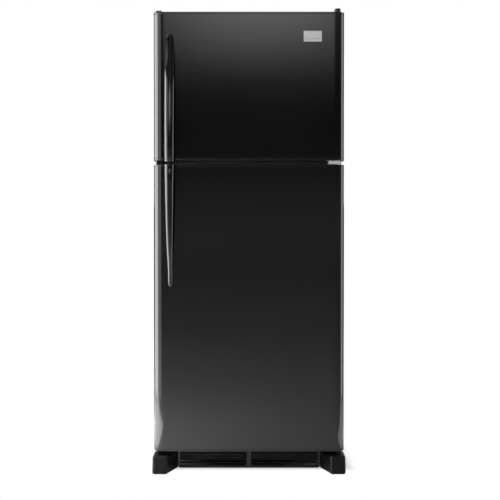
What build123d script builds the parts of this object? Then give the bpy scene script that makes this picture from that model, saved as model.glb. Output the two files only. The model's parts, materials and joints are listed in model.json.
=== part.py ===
from build123d import *
import os

# Top freezer refrigerator, 28 inch class, as separate pieces.
# Millimetres. +X is to the viewer's right, -Y is the front and +Z is up.
# The origin is the middle of the floor area under the whole refrigerator.
# The doors hang on the right, so each turns about the same vertical line.

# ---- driving dimensions ----
DOOR_WIDTH = 711.0
DOOR_FRONT = -329.0
DOOR_BACK = -265.0
DOOR_EDGE_RADIUS = 28.0
DOOR_CAP = 7.0
FREEZER_DOOR_Z = (1172.0, 1722.0)
FRESH_DOOR_Z = (85.0, 1156.0)

CABINET_HALF = 351.5
CABINET_FRONT = -253.0
CABINET_BACK = 381.0
CABINET_BOTTOM = 60.0
CABINET_TOP = 1716.0
TOP_EDGE_RADIUS = 8.0
OVERALL_TOP = 1740.0

STEEL = 1.0
LINER = 2.0
PLATE = 2.0
MOULDING = 2.5

FREEZER_HALF = 293.5
FREEZER_Z = (1194.0, 1655.0)
FREEZER_BACK = 310.0
FRESH_HALF = 306.5
FRESH_Z = (130.0, 1134.0)
FRESH_BACK = 330.0
STEP_FRONT = 100.0
STEP_TOP = 375.0
LINER_RADIUS = 14.0

FLANGE_HALF = 313.5
FLANGE_BOTTOM = 110.0
FLANGE_TOP = 1677.0
MULLION_Z = (1136.0, 1192.0)

MACHINE_FRONT = 149.0
MACHINE_TOP = 331.0
PAN_Z = 46.0
CONDENSER_FAN_Y = 265.0
CONDENSER_FAN_Z = 150.0
EVAPORATOR_FAN_Z = 1580.0

HINGE_X = 335.0
HINGE_Y = -290.0
PIN_RADIUS = 5.0
RUNNING_GAP = 0.07
HINGE_PLATE = 4.0

GASKET_HALF = 333.0
GASKET_WIDTH = 18.0
GASKET_BACK = -253.5

FREEZER_RIB = 276.0
FRESH_RIB = 289.0
RIB_WIDTH = 20.0
RIB_BACK = -192.0
POCKET_DEPTH = 12.0
BIN_FRONT = -276.0
BIN_BACK = -194.0
BIN_RADIUS = 10.0
DAIRY_Z = (1000.0, 1105.0)
LID_PIVOT = (-191.5, 1096.0)
LID_PIN_RADIUS = 2.0

# Each handle's half width at shares of its length, from its foot to where its tip rounds off.
HANDLE_X = -293.0
HANDLE_WIDTH = 36.0
HANDLE_REACH = 52.0
FREEZER_HANDLE_Z = (1163.0, 1640.0)
FRESH_HANDLE_Z = (702.0, 1155.0)
FREEZER_HANDLE_WIDTHS = ((0, 18), (0.5, 18), (0.82, 16.3), (0.95, 11.5))
FRESH_HANDLE_WIDTHS = ((0, 18), (0.31, 15.5), (0.7, 11.6), (0.96, 8))

BADGE_CENTRE = (237.0, 1631.0)
BADGE_SIZE = (71.0, 45.0)

FOOT_HALF = 361.0
FOOT_FRONT = -349.0
FOOT_BACK = -258.0
FOOT_Z = (2.0, 68.0)
GRILLE_HALF = 268.0
GRILLE_Y = (-262.0, -254.0)
GRILLE_Z = (5.0, 82.0)

SHELF_FRONT = -160.0
SHELF_LEVELS = (545.0, 790.0)
COVER_LEVEL = 389.0
FREEZER_SHELF_Z = 1425.0
SHELF_GAP = 2.5
GLASS = 4.0
SUPPORT_FRONT = -140.0
SUPPORT_REACH = 6.5
SUPPORT_HEIGHT = 12.0

CONTROL_FRONT = -80.0
KNOB_X = {"freezer": -80.0, "fresh": 80.0}
KNOB_Z = 1112.0
KNOB_SHAFT = 3.0
SWITCH_AT = (240.0, 1122.0)
SWITCH_RADIUS = 4.0

LEG_X = 318.0
LEG_Y = -215.0
ROLLER_X = 300.0
ROLLER_Y = 340.0
ROLLER_RADIUS = 20.0
LEG_RADIUS = 5.0
AXLE_RADIUS = 4.0

nodes = {}


# ---- shared shapes ----
def block(x, y, z):
    """Box between two limits along each axis."""
    spans = (x, y, z)
    size = [high - low for low, high in spans]
    centre = [(high + low) / 2 for low, high in spans]
    return Pos(*centre) * Box(*size)


def span(half):
    """Limits that lie evenly about the middle."""
    return (-half, half)


def side(limits, sign):
    """Limits along X on the right (+1) or mirrored to the left (-1)."""
    return tuple(sorted(sign * value for value in limits))


def rod(radius, axis, at, limits):
    """Round bar along an axis; at holds its two other coordinates in X, Y, Z order."""
    middle = (limits[0] + limits[1]) / 2
    bar = Cylinder(radius, limits[1] - limits[0])
    if axis == "X":
        return Pos(middle, at[0], at[1]) * Rot(0, 90, 0) * bar
    if axis == "Y":
        return Pos(at[0], middle, at[1]) * Rot(90, 0, 0) * bar
    return Pos(at[0], at[1], middle) * bar


def joined(shapes):
    """All the shapes fused into one."""
    first, *others = shapes
    return first + others if others else first


def group(shapes):
    """Separate solids that share a node."""
    return Compound(children=[solid for shape in shapes for solid in shape.solids()])


def upright_fillet(shape, radius):
    """The same block with its vertical edges rounded."""
    return fillet(shape.edges().filter_by(Axis.Z), radius)


def tub(x, y, z, wall, radius):
    """Open-topped moulded bin with rounded upright edges."""
    outer = upright_fillet(block(x, y, z), radius)
    inside_x = (x[0] + wall, x[1] - wall)
    inside_y = (y[0] + wall, y[1] - wall)
    inner = block(inside_x, inside_y, (z[0] + wall, z[1] + 1))
    return outer - upright_fillet(inner, radius - wall)


def slots(x, z, rows, width, height, y):
    """Cutters for rows of level slots, spread evenly between the limits."""
    columns = max(1, round((x[1] - x[0]) / (width * 1.25)))
    pitch_x = (x[1] - x[0]) / columns
    pitch_z = (z[1] - z[0]) / rows
    cutters = []
    for column in range(columns):
        for row in range(rows):
            centre_x = x[0] + pitch_x * (column + 0.5)
            centre_z = z[0] + pitch_z * (row + 0.5)
            slot_x = (centre_x - width / 2, centre_x + width / 2)
            slot_z = (centre_z - height / 2, centre_z + height / 2)
            cutters.append(block(slot_x, y, slot_z))
    return cutters


def tube(points, bend, radius):
    """Round tube along straight runs joined by arcs."""
    path = FilletPolyline(*points, radius=bend)
    section = Plane(path @ 0, z_dir=path % 0) * Circle(radius)
    return sweep(section, path=path)


# ---- cabinet ----
def wrapper_volume(inset):
    """Outside of the cabinet, or the space inside its steel, from the front to the back."""
    half = CABINET_HALF - inset
    depth = (CABINET_FRONT + inset, CABINET_BACK)
    height = (CABINET_BOTTOM + inset, CABINET_TOP - inset)
    body = block(span(half), depth, height)
    top_edges = body.edges().filter_by(Axis.Y).group_by(Axis.Z)[-1]
    return fillet(top_edges, TOP_EDGE_RADIUS - inset)


def cavity(half, back, z, step):
    """Space in a liner; step is the y and z of the hump over the machinery, or None."""
    space = block(span(half), (CABINET_FRONT - 10, back), z)
    if step:
        space -= block(span(half + 1), (step[0], back + 1), (z[0] - 1, step[1]))
    behind_front = [e for e in space.edges() if e.center().Y > CABINET_FRONT - 9]
    lengthwise = [e for e in behind_front if abs((e % 0.5).Y) > 0.99]
    return fillet(lengthwise, LINER_RADIUS)


def side_supports(half, back, level):
    """Moulded ledges on both walls of a liner, under a shelf."""
    reach = (half - SUPPORT_REACH, half + LINER / 2)
    height = (level - SUPPORT_HEIGHT, level)
    return [block(side(reach, sign), (SUPPORT_FRONT, back), height) for sign in (-1, 1)]


def make_cabinet():
    inside = wrapper_volume(STEEL)
    front_y = (CABINET_FRONT, CABINET_FRONT + STEEL)
    foam_front = CABINET_FRONT + STEEL
    foam_back = CABINET_BACK - STEEL
    machine_space = block(
        span(CABINET_HALF + 1), (MACHINE_FRONT, CABINET_BACK + 1), (0, MACHINE_TOP)
    )

    opening = block(
        span(FLANGE_HALF), (CABINET_FRONT - 1, foam_front + 1), (FLANGE_BOTTOM, FLANGE_TOP)
    )
    under_machine = block(
        span(CABINET_HALF - STEEL),
        (MACHINE_FRONT, CABINET_BACK + 1),
        (CABINET_BOTTOM - 1, CABINET_BOTTOM + STEEL),
    )
    shell = wrapper_volume(0) - inside - opening - under_machine

    back_sheet = block(span(CABINET_HALF), (foam_back, CABINET_BACK), (MACHINE_TOP, CABINET_TOP))
    nodes["rear_panel"] = back_sheet & inside

    freezer_outer = block(span(FREEZER_HALF), (foam_front, FREEZER_BACK), FREEZER_Z)
    fresh_outer = block(span(FRESH_HALF), (foam_front, FRESH_BACK), FRESH_Z)
    fresh_outer -= block(
        span(FRESH_HALF + 1), (STEP_FRONT, FRESH_BACK + 1), (FRESH_Z[0] - 1, STEP_TOP)
    )
    foam = block(span(CABINET_HALF), (foam_front, foam_back), (CABINET_BOTTOM, CABINET_TOP))
    foam = (foam & inside) - machine_space - freezer_outer - fresh_outer

    freezer_space = cavity(
        FREEZER_HALF - LINER,
        FREEZER_BACK - LINER,
        (FREEZER_Z[0] + LINER, FREEZER_Z[1] - LINER),
        None,
    )
    fresh_space = cavity(
        FRESH_HALF - LINER,
        FRESH_BACK - LINER,
        (FRESH_Z[0] + LINER, FRESH_Z[1] - LINER),
        (STEP_FRONT - LINER, STEP_TOP + LINER),
    )
    freezer_flange = block(span(FLANGE_HALF), front_y, (MULLION_Z[1], FLANGE_TOP))
    fresh_flange = block(span(FLANGE_HALF), front_y, (FLANGE_BOTTOM, MULLION_Z[0]))
    freezer_liner = freezer_outer + freezer_flange - freezer_space
    fresh_liner = fresh_outer + fresh_flange - fresh_space

    freezer_wall = FREEZER_HALF - LINER
    fresh_wall = FRESH_HALF - LINER
    freezer_liner += side_supports(freezer_wall, 235, FREEZER_SHELF_Z)
    for level in SHELF_LEVELS:
        fresh_liner += side_supports(fresh_wall, 290, level)
    fresh_liner += side_supports(fresh_wall, STEP_FRONT - 10, COVER_LEVEL)
    fresh_liner += switch_boss()

    nodes["cabinet_shell"] = shell
    nodes["cabinet_foam"] = foam
    nodes["freezer_liner"] = freezer_liner
    nodes["fresh_food_liner"] = fresh_liner
    nodes["mullion_front_bar"] = block(span(FLANGE_HALF), front_y, MULLION_Z)
    return freezer_space


def switch_boss():
    """Moulded boss under the ceiling, with the blind hole in which the light switch button slides."""
    boss_half = 12.0
    front, hole_end, back = -246, -228, -214
    x, z = SWITCH_AT
    boss = block((x - boss_half, x + boss_half), (front, back), (z - 8, FRESH_Z[1] - LINER / 2))
    return boss - rod(SWITCH_RADIUS + RUNNING_GAP, "Y", SWITCH_AT, (front - 1, hole_end))


def make_light_switch():
    nodes["light_switch_button"] = rod(SWITCH_RADIUS, "Y", SWITCH_AT, (-262, -236))


# ---- base ----
def make_machine_compartment():
    """Open sheet-metal box behind the step of the fresh-food compartment."""
    inner_half = CABINET_HALF - STEEL
    depth = (MACHINE_FRONT + STEEL, CABINET_BACK - STEEL)
    wall_z = (PAN_Z + PLATE, MACHINE_TOP - STEEL)
    sheets = [
        block(span(inner_half), depth, (PAN_Z, PAN_Z + PLATE)),
        block(span(inner_half), (MACHINE_FRONT, depth[0]), (PAN_Z, MACHINE_TOP)),
        block(span(inner_half), depth, (wall_z[1], MACHINE_TOP)),
    ]
    for sign in (-1, 1):
        sheets.append(block(side((inner_half - PLATE, inner_half), sign), depth, wall_z))
    nodes["machine_compartment"] = group(sheets)


def roller_brackets():
    """Two ears on each side under the machinery, which hold the roller axles."""
    ears = []
    for sign in (-1, 1):
        for inner in (ROLLER_X - 16, ROLLER_X + 13):
            reach = side((inner, inner + 3), sign)
            through = side((inner - 1, inner + 4), sign)
            ear = block(reach, (ROLLER_Y - 20, ROLLER_Y + 20), (10, PAN_Z))
            bore = rod(AXLE_RADIUS + RUNNING_GAP, "X", (ROLLER_Y, ROLLER_RADIUS), through)
            ears.append(ear - bore)
    return ears


def make_base_rails():
    """Side rails, the front cross member with a nut for each leg, and the roller brackets."""
    inner_half = CABINET_HALF - STEEL
    cross_y = (-245, -185)
    rail_y = (cross_y[1], MACHINE_FRONT)
    sheet = 3.0
    rails = []
    for sign in (-1, 1):
        web = block(side((inner_half - 4, inner_half), sign), rail_y, (38, CABINET_BOTTOM))
        top_z = (CABINET_BOTTOM - sheet, CABINET_BOTTOM)
        rails.append(web + block(side((inner_half - 32, inner_half), sign), rail_y, top_z))

    lip_y = (cross_y[0], cross_y[0] + sheet)
    cross = block(span(inner_half), cross_y, (CABINET_BOTTOM - 4, CABINET_BOTTOM))
    cross += block(span(inner_half), lip_y, (34, CABINET_BOTTOM - sheet))
    nut_half = 16
    for sign in (-1, 1):
        nut_x = side((LEG_X - nut_half, LEG_X + nut_half), sign)
        cross += block(nut_x, (LEG_Y - nut_half, LEG_Y + nut_half), (40, CABINET_BOTTOM - sheet))
    for sign in (-1, 1):
        cross -= rod(LEG_RADIUS + RUNNING_GAP, "Z", (sign * LEG_X, LEG_Y), (30, CABINET_BOTTOM - 1))
    nodes["base_rails"] = group([*rails, cross, *roller_brackets()])


def make_legs_and_rollers():
    foot_height = 10
    hexagon_height = 8
    for sign, name in ((-1, "left"), (1, "right")):
        at = (sign * LEG_X, LEG_Y)
        foot = rod(17, "Z", at, (0, foot_height))
        foot = fillet(foot.edges().group_by(Axis.Z)[-1], 3)
        hexagon = extrude(Pos(*at, foot_height) * RegularPolygon(9, 6), hexagon_height)
        stem = rod(LEG_RADIUS, "Z", at, (foot_height + hexagon_height, 57))
        nodes[f"front_leg_{name}"] = joined([foot, hexagon, stem])

        at = (ROLLER_Y, ROLLER_RADIUS)
        wheel = rod(ROLLER_RADIUS, "X", at, side((ROLLER_X - 11, ROLLER_X + 11), sign))
        wheel = chamfer(wheel.edges(), 2)
        axle = rod(AXLE_RADIUS, "X", at, side((ROLLER_X - 19, ROLLER_X + 19), sign))
        nodes[f"rear_roller_{name}"] = wheel + axle


def make_kickplate():
    """Slotted grille between the foot covers, with a post in its middle."""
    panel = block(span(GRILLE_HALF), GRILLE_Y, GRILLE_Z)
    lower = panel.edges().filter_by(Axis.Y).group_by(Axis.Z)[0]
    panel = fillet(lower, 12)
    slot_rows = 5
    slot_pitch = 10.5
    slot_half = 3.0
    lowest_slot = 20.5
    post_half = 9
    side_bar = 16
    through = (GRILLE_Y[0] - 1, GRILLE_Y[1] + 1)
    for row in range(slot_rows):
        level = lowest_slot + slot_pitch * row
        for sign in (-1, 1):
            reach = side((post_half, GRILLE_HALF - side_bar), sign)
            cutter = block(reach, through, (level - slot_half, level + slot_half))
            panel -= fillet(cutter.edges().filter_by(Axis.Y), 2.5)
    nodes["toe_grille"] = panel

    for sign, name in ((-1, "left"), (1, "right")):
        nodes[f"foot_cover_{name}"] = foot_cover(sign)


def foot_plan(inset):
    """Plan of the right foot cover: its inner side slants towards the grille."""
    outer = FOOT_HALF - inset
    front = FOOT_FRONT + inset
    plan = Polyline(
        (outer, FOOT_BACK),
        (outer, front),
        (306 + inset, front),
        (272 + inset, FOOT_BACK),
        close=True,
    )
    face = make_face(plan)
    return fillet(face.vertices().sort_by(Axis.Y)[:2], 8 - inset)


def foot_cover(sign):
    """Hollow corner cover, open behind and below."""
    height = FOOT_Z[1] - FOOT_Z[0]
    outer = extrude(Pos(0, 0, FOOT_Z[0]) * foot_plan(0), height)
    top_edges = outer.edges().group_by(Axis.Z)[-1]
    outer = fillet(top_edges.filter_by(lambda edge: edge.center().Y < FOOT_BACK - 1), 5)
    inner = extrude(Pos(0, 0, FOOT_Z[0] - 1) * foot_plan(MOULDING), height - MOULDING + 1)
    inner += Pos(0, 3, 0) * inner
    cover = outer - inner
    return cover if sign > 0 else mirror(cover, Plane.YZ)


# ---- hinges ----
def hinge_pin(z):
    """Pin on the doors' common axis."""
    return rod(PIN_RADIUS, "Z", (HINGE_X, HINGE_Y), z)


def rounded_leaf(x, y, z, radius):
    """Level hinge plate with its front corners rounded."""
    leaf = block(x, y, z)
    return fillet(leaf.edges().filter_by(Axis.Z).group_by(Axis.Y)[0], radius)


def make_top_hinge(leaf_z):
    """Bracket on the cabinet's roof that steps up over the door."""
    sheet = 3
    leaf_x = (HINGE_X - 18, HINGE_X + 15)
    riser_y = (-249, -246)
    rear_leaf = block(
        (HINGE_X - 30, HINGE_X + 15), (riser_y[1], -176), (CABINET_TOP, CABINET_TOP + sheet)
    )
    riser = block(leaf_x, riser_y, (CABINET_TOP, leaf_z + sheet))
    front_leaf = rounded_leaf(
        leaf_x, (HINGE_Y - 14, riser_y[1]), (leaf_z, leaf_z + sheet), 12
    )
    pin = hinge_pin((FREEZER_DOOR_Z[1] - 20, leaf_z + 1))
    return joined([rear_leaf, riser, front_leaf, pin])


def make_centre_hinge(gap):
    """Bracket in the gap between the doors, with a pin up and a pin down."""
    middle = sum(gap) / 2
    plate_y = (CABINET_FRONT - HINGE_PLATE, CABINET_FRONT)
    leaf = rounded_leaf((296, 347), (-320, plate_y[0]), (middle - 2, middle + 2), 6)
    lip = block((296, 339), (-322, -319), (gap[0] + 2, gap[1] - 2))
    mount = block((296, 347), plate_y, (gap[0] + 1, gap[1] - 1))
    pins = hinge_pin((gap[0] - 18, gap[1] + 18))
    washers = rod(9, "Z", (HINGE_X, HINGE_Y), (gap[0] + 1, gap[1] - 1))
    return joined([leaf, lip, mount, pins, washers])


def make_bottom_hinge(top):
    """Bracket under the fresh-food door."""
    plate_y = (CABINET_FRONT - HINGE_PLATE, CABINET_FRONT)
    leaf = rounded_leaf((300, 350), (-308, plate_y[0]), (top - 4, top), 12)
    mount = block((300, 350), plate_y, (CABINET_BOTTOM + 4, top))
    return joined([leaf, mount, hinge_pin((top - 3, FRESH_DOOR_Z[0] + 18))])


def side_span(start, length):
    """Limits that start at a face and run a signed length from it."""
    return tuple(sorted((start, start + length)))


def screw(axis, at, face, inward, head_radius):
    """Screw with its head on a face; inward is the direction of its shank, +1 or -1."""
    head_height = 3
    head = rod(head_radius, axis, at, side_span(face, -inward * head_height))
    shank = rod(2.5, axis, at, side_span(face - inward, inward * 18))
    return head + shank


def make_hinges():
    leaf_z = FREEZER_DOOR_Z[1] + 2
    gap = (FRESH_DOOR_Z[1], FREEZER_DOOR_Z[0])
    middle = sum(gap) / 2
    screws = []
    for x in (HINGE_X - 20, HINGE_X + 5):
        for y in (-230, -192):
            screws.append(screw("Z", (x, y), CABINET_TOP + 3, -1, 5))
    for x, z, head_radius in ((304, middle, 4.5), (341, middle, 4.5), (310, 74, 5), (342, 74, 5)):
        screws.append(screw("Y", (x, z), CABINET_FRONT - HINGE_PLATE, 1, head_radius))
    screws = group(screws)
    nodes["hinge_screws"] = screws
    nodes["top_hinge"] = make_top_hinge(leaf_z) - screws
    nodes["centre_hinge"] = make_centre_hinge(gap) - screws
    nodes["bottom_hinge"] = make_bottom_hinge(FRESH_DOOR_Z[0] - 2) - screws
    for name in ("cabinet_shell", "cabinet_foam", "mullion_front_bar"):
        nodes[name] = nodes[name] - screws
    nodes["top_hinge_cover"] = hinge_cover(leaf_z)


def hinge_cover(leaf_z):
    """Moulded cover that follows the top hinge from the cabinet's roof to its pin."""
    rear_y = (-262, -170)
    wall = 2
    rear = block((HINGE_X - 32, HINGE_X + 16), rear_y, (CABINET_TOP, OVERALL_TOP))
    rear = fillet(rear.edges().group_by(Axis.Z)[-1], 5)
    nose_x = (HINGE_X - 13, HINGE_X + 8)
    nose = block(nose_x, (HINGE_Y - 17, rear_y[0]), (leaf_z + 0.2, OVERALL_TOP))
    nose = fillet(nose.edges().group_by(Axis.Y)[0].filter_by(Axis.Z), 8)
    hollow = block(
        (HINGE_X - 30, HINGE_X + 15.5),
        (rear_y[0] + wall, rear_y[1] - wall),
        (CABINET_TOP - 1, OVERALL_TOP - 6),
    )
    over_leaf = block(
        (HINGE_X - 20, HINGE_X + 16), (HINGE_Y - 14.5, rear_y[0] + 3), (CABINET_TOP, leaf_z + 3.2)
    )
    return rear + nose - hollow - over_leaf


# ---- doors ----
def door_plan(inset):
    """Plan of a door, inset from its outside, with rounded front edges."""
    half = DOOR_WIDTH / 2 - inset
    front = DOOR_FRONT + inset
    plan = Pos(0, (front + DOOR_BACK) / 2) * Rectangle(2 * half, DOOR_BACK - front)
    return fillet(plan.vertices().sort_by(Axis.Y)[:2], DOOR_EDGE_RADIUS - inset)


def door_slab(inset, z):
    """Door outline raised between two levels."""
    return extrude(Pos(0, 0, z[0]) * door_plan(inset), z[1] - z[0])


def door_caps(z):
    """End caps with the sockets of the hinge pins, and the sockets' own shapes."""
    boss_radius, boss_depth, bore_depth = 13.0, 25.0, 22.0
    bosses = []
    caps = []
    for end, inward in ((z[0], 1), (z[1], -1)):
        plate = door_slab(0, side_span(end, inward * DOOR_CAP))
        reach = side_span(end + inward * DOOR_CAP / 2, inward * (boss_depth - DOOR_CAP / 2))
        boss = rod(boss_radius, "Z", (HINGE_X, HINGE_Y), reach)
        bore_z = side_span(end - inward, inward * (bore_depth + 1))
        bore = rod(PIN_RADIUS + RUNNING_GAP, "Z", (HINGE_X, HINGE_Y), bore_z)
        caps.append(plate + boss - bore)
        bosses.append(boss)
    return caps, bosses


def door_gasket(z):
    """Rectangular ring with a groove round its outside, half a millimetre short of the cabinet."""
    ring = block(span(GASKET_HALF), (DOOR_BACK, GASKET_BACK), z)
    inner_z = (z[0] + GASKET_WIDTH, z[1] - GASKET_WIDTH)
    hole = block(span(GASKET_HALF - GASKET_WIDTH), (DOOR_BACK - 1, GASKET_BACK + 1), inner_z)
    groove_y = (DOOR_BACK + 4, DOOR_BACK + 8)
    depth = 4
    groove = block(span(GASKET_HALF + 1), groove_y, (z[0] - 1, z[1] + 1))
    groove -= block(span(GASKET_HALF - depth), groove_y, (z[0] + depth, z[1] - depth))
    return ring - hole - groove


def make_door(prefix, z, rib, rib_z, gasket_z, ledges):
    """Skin, end caps, foam, liner and gasket of one door; ledges are the levels of its bins."""
    half = DOOR_WIDTH / 2
    turned_in = 13
    body_z = (z[0] + DOOR_CAP, z[1] - DOOR_CAP)
    pocket = rib - RIB_WIDTH
    sheet_y = (DOOR_BACK - LINER, DOOR_BACK)

    flanges = [
        block(side((half - turned_in, half - STEEL), sign), sheet_y, body_z) for sign in (-1, 1)
    ]
    skin = door_slab(0, body_z) - door_slab(STEEL, body_z) + flanges
    caps, bosses = door_caps(z)

    foam = door_slab(STEEL, body_z) - block(span(half), sheet_y, body_z)
    rib_y = (DOOR_BACK - POCKET_DEPTH - LINER, RIB_BACK)
    for sign in (-1, 1):
        bar = block(side((pocket, rib), sign), rib_y, rib_z)
        foam += fillet(bar.edges().filter_by(Axis.Z).group_by(Axis.Y)[-1], 6)
    pocket_y = (DOOR_BACK - POCKET_DEPTH - LINER, DOOR_BACK)
    foam -= block(span(pocket), pocket_y, rib_z)
    foam -= bosses

    liner = block(span(half - turned_in), sheet_y, body_z)
    outer_z = (rib_z[0] - LINER, rib_z[1] + LINER)
    outer_y = (sheet_y[0], RIB_BACK + LINER)
    for sign in (-1, 1):
        cover = block(side((pocket - LINER, rib + LINER), sign), outer_y, outer_z)
        liner += fillet(cover.edges().filter_by(Axis.Z).group_by(Axis.Y)[-1], 8)
    liner += block(span(pocket), pocket_y, rib_z)
    air_z = (rib_z[0] + LINER, rib_z[1] - LINER)
    liner -= block(span(pocket - LINER), (pocket_y[0] + LINER, DOOR_BACK + 1), air_z)
    liner -= foam
    ledge_reach, ledge_height = 8, 8
    for level in ledges:
        for sign in (-1, 1):
            reach = side((pocket - LINER - ledge_reach, pocket - LINER / 2), sign)
            liner += block(reach, (DOOR_BACK + 3, BIN_BACK - 11), (level - ledge_height, level))

    nodes[f"{prefix}_door_skin"] = skin
    nodes[f"{prefix}_door_caps"] = group(caps)
    nodes[f"{prefix}_door_foam"] = foam
    nodes[f"{prefix}_door_liner"] = liner
    nodes[f"{prefix}_door_gasket"] = door_gasket(gasket_z)


def hole_plug(end, outward, height):
    """Plug over the spare hinge hole at a door's left edge."""
    plug = block((-350, -326), (HINGE_Y - 14, HINGE_Y + 14), side_span(end, outward * height))
    return upright_fillet(plug, 5)


def handle_profile(length):
    """Side view of a grip, with its foot at z = 0 and its tip at z = length."""
    face = DOOR_FRONT
    crest = face - HANDLE_REACH
    foot = 44.0
    outer = Spline(
        (crest + 7, 0),
        (crest + 2, 20),
        (crest, 64),
        (crest + 4, length * 0.37),
        (crest + 16, length * 0.66),
        (face - 12, length * 0.89),
        (face - 2, length),
    )
    inner = Spline(
        (face, length * 0.88),
        (face - 23, length * 0.66),
        (face - 33, length * 0.35),
        (face - 32, foot + 26),
        (face - 16, foot),
        (face, foot - 6),
    )
    edges = [
        outer,
        Line((face - 2, length), (face, length)),
        Line((face, length), (face, length * 0.88)),
        inner,
        Line((face, foot - 6), (face, 0)),
        Line((face, 0), (crest + 7, 0)),
    ]
    return make_face(edges)


def handle_outline(length, half_widths):
    """Front view of a grip, with a round tip."""
    right = Spline(*[(half, share * length) for share, half in half_widths])
    tip_share, tip_half = half_widths[-1]
    tip_z = tip_share * length
    foot_half = half_widths[0][1]
    tip = ThreePointArc((tip_half, tip_z), (0, length), (-tip_half, tip_z))
    base = Line((foot_half, 0), (-foot_half, 0))
    return make_face([right, tip, mirror(right, Plane.YZ), base])


def handle(length, half_widths, overhang):
    """Arched grip; overhang is how far its foot reaches past the door's end, with a lip behind it."""
    bar = extrude(Plane.YZ * handle_profile(length), HANDLE_WIDTH / 2, both=True)
    past_everything = 600
    grip = bar & extrude(Plane.XZ * handle_outline(length, half_widths), past_everything, both=True)
    if overhang:
        lip_y = (DOOR_FRONT - 6, DOOR_FRONT + 24)
        grip += block(span(HANDLE_WIDTH / 2 - 1), lip_y, (0, overhang))
    return Pos(HANDLE_X, 0, 0) * grip


def make_freezer_door():
    rib_z = (1206.0, 1645.0)
    levels = (1232.0, 1432.0)
    gasket_z = (1174.0, 1708.0)
    make_door("freezer", FREEZER_DOOR_Z, FREEZER_RIB, rib_z, gasket_z, levels)
    bottom, top = FREEZER_DOOR_Z
    plugs = [hole_plug(top, 1, 11), hole_plug(bottom, -1, 5.5)]
    nodes["freezer_door_caps"] = group([nodes["freezer_door_caps"], *plugs])

    half = FREEZER_RIB - RIB_WIDTH - LINER - 2
    depth = (BIN_FRONT, BIN_BACK)
    bin_height = 92
    bins = [
        tub(span(half), depth, (level, level + bin_height), MOULDING, BIN_RADIUS) for level in levels
    ]
    nodes["freezer_door_bins"] = group(bins)

    low, high = FREEZER_HANDLE_Z
    grip = handle(high - low, FREEZER_HANDLE_WIDTHS, FREEZER_DOOR_Z[0] - low)
    nodes["freezer_handle"] = Pos(0, 0, low) * grip

    centre_x, centre_z = BADGE_CENTRE
    width, height = BADGE_SIZE
    plate = block(
        (centre_x - width / 2, centre_x + width / 2),
        (DOOR_FRONT - 2, DOOR_FRONT),
        (centre_z - height / 2, centre_z + height / 2),
    )
    plate = fillet(plate.edges().filter_by(Axis.Y), 4)
    nodes["badge"] = chamfer(plate.faces().sort_by(Axis.Y)[0].edges(), 0.6)


def dairy_box(half):
    """Box open towards the compartment, with an ear on each side for the lid's pin."""
    box = block(span(half), (BIN_FRONT, BIN_BACK), DAIRY_Z)
    box -= block(
        span(half - MOULDING),
        (BIN_FRONT + MOULDING, BIN_BACK + 1),
        (DAIRY_Z[0] + MOULDING, DAIRY_Z[1] - MOULDING),
    )
    pivot_y, pivot_z = LID_PIVOT
    for sign in (-1, 1):
        ear_x = side((half - MOULDING, half), sign)
        box += block(ear_x, (BIN_BACK - 1, pivot_y + 5), (pivot_z - 7, pivot_z + 7))
    return box - rod(LID_PIN_RADIUS + RUNNING_GAP, "X", LID_PIVOT, span(half + 1))


def dairy_lid(half):
    """Flap that hangs from its top edge, with a lip along its bottom to lift it by."""
    lid_half = half - MOULDING - 0.5
    pivot_y, pivot_z = LID_PIVOT
    bottom = DAIRY_Z[0] + 4
    lid = block(span(lid_half), (pivot_y - 1, pivot_y + 1.5), (bottom, pivot_z + 3))
    knuckle = rod(3, "X", LID_PIVOT, span(lid_half))
    pins = rod(LID_PIN_RADIUS, "X", LID_PIVOT, span(half - 0.5))
    lip = block(span(60), (pivot_y + 1, pivot_y + 7), (bottom, bottom + 4))
    return joined([lid, knuckle, pins, lip])


def make_fresh_door():
    rib_z = (142.0, 1108.0)
    bins_z = ((182.0, 110.0), (500.0, 100.0), (760.0, 92.0))
    ledges = [*[level for level, height in bins_z], DAIRY_Z[0]]
    gasket_z = (90.0, 1154.0)
    make_door("fresh", FRESH_DOOR_Z, FRESH_RIB, rib_z, gasket_z, ledges)
    plugs = [hole_plug(FRESH_DOOR_Z[1], 1, 8), hole_plug(FRESH_DOOR_Z[0], -1, 4)]
    nodes["fresh_door_caps"] = group([nodes["fresh_door_caps"], *plugs])

    half = FRESH_RIB - RIB_WIDTH - LINER - 2
    depth = (BIN_FRONT, BIN_BACK)
    tubs = [
        tub(span(half), depth, (level, level + height), MOULDING, BIN_RADIUS)
        for level, height in bins_z
    ]
    nodes["fresh_door_bins"] = group([*tubs, dairy_box(half)])
    nodes["dairy_lid"] = dairy_lid(half)

    low, high = FRESH_HANDLE_Z
    grip = handle(high - low, FRESH_HANDLE_WIDTHS, 0)
    nodes["fresh_handle"] = Pos(0, 0, high) * mirror(grip, Plane.XY)


# ---- compartments ----
def shelf_trim(y, slot_y, level):
    """Channel along the front or back edge of a glass shelf, with the slot that the glass fills."""
    half = FRESH_HALF - LINER - SHELF_GAP
    bar = block(span(half), y, (level - 5, level + 10))
    bar = fillet(bar.edges().filter_by(Axis.X).group_by(Axis.Z)[-1], 3)
    return bar - block(span(half + 1), slot_y, (level, level + GLASS))


def make_shelves():
    """The two glass shelves and the glass cover of the crispers."""
    half = FRESH_HALF - LINER - SHELF_GAP
    back = 310
    trim = 14
    lip = 5
    glass_y = (SHELF_FRONT + lip, back - lip)
    glass = []
    trims = []
    for level in (*SHELF_LEVELS, COVER_LEVEL):
        glass.append(block(span(half), glass_y, (level, level + GLASS)))
        trims.append(shelf_trim((SHELF_FRONT, SHELF_FRONT + trim), glass_y, level))
        trims.append(shelf_trim((back - trim, back), glass_y, level))
    nodes["shelf_glass"] = group(glass)
    nodes["shelf_trims"] = group(trims)


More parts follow.
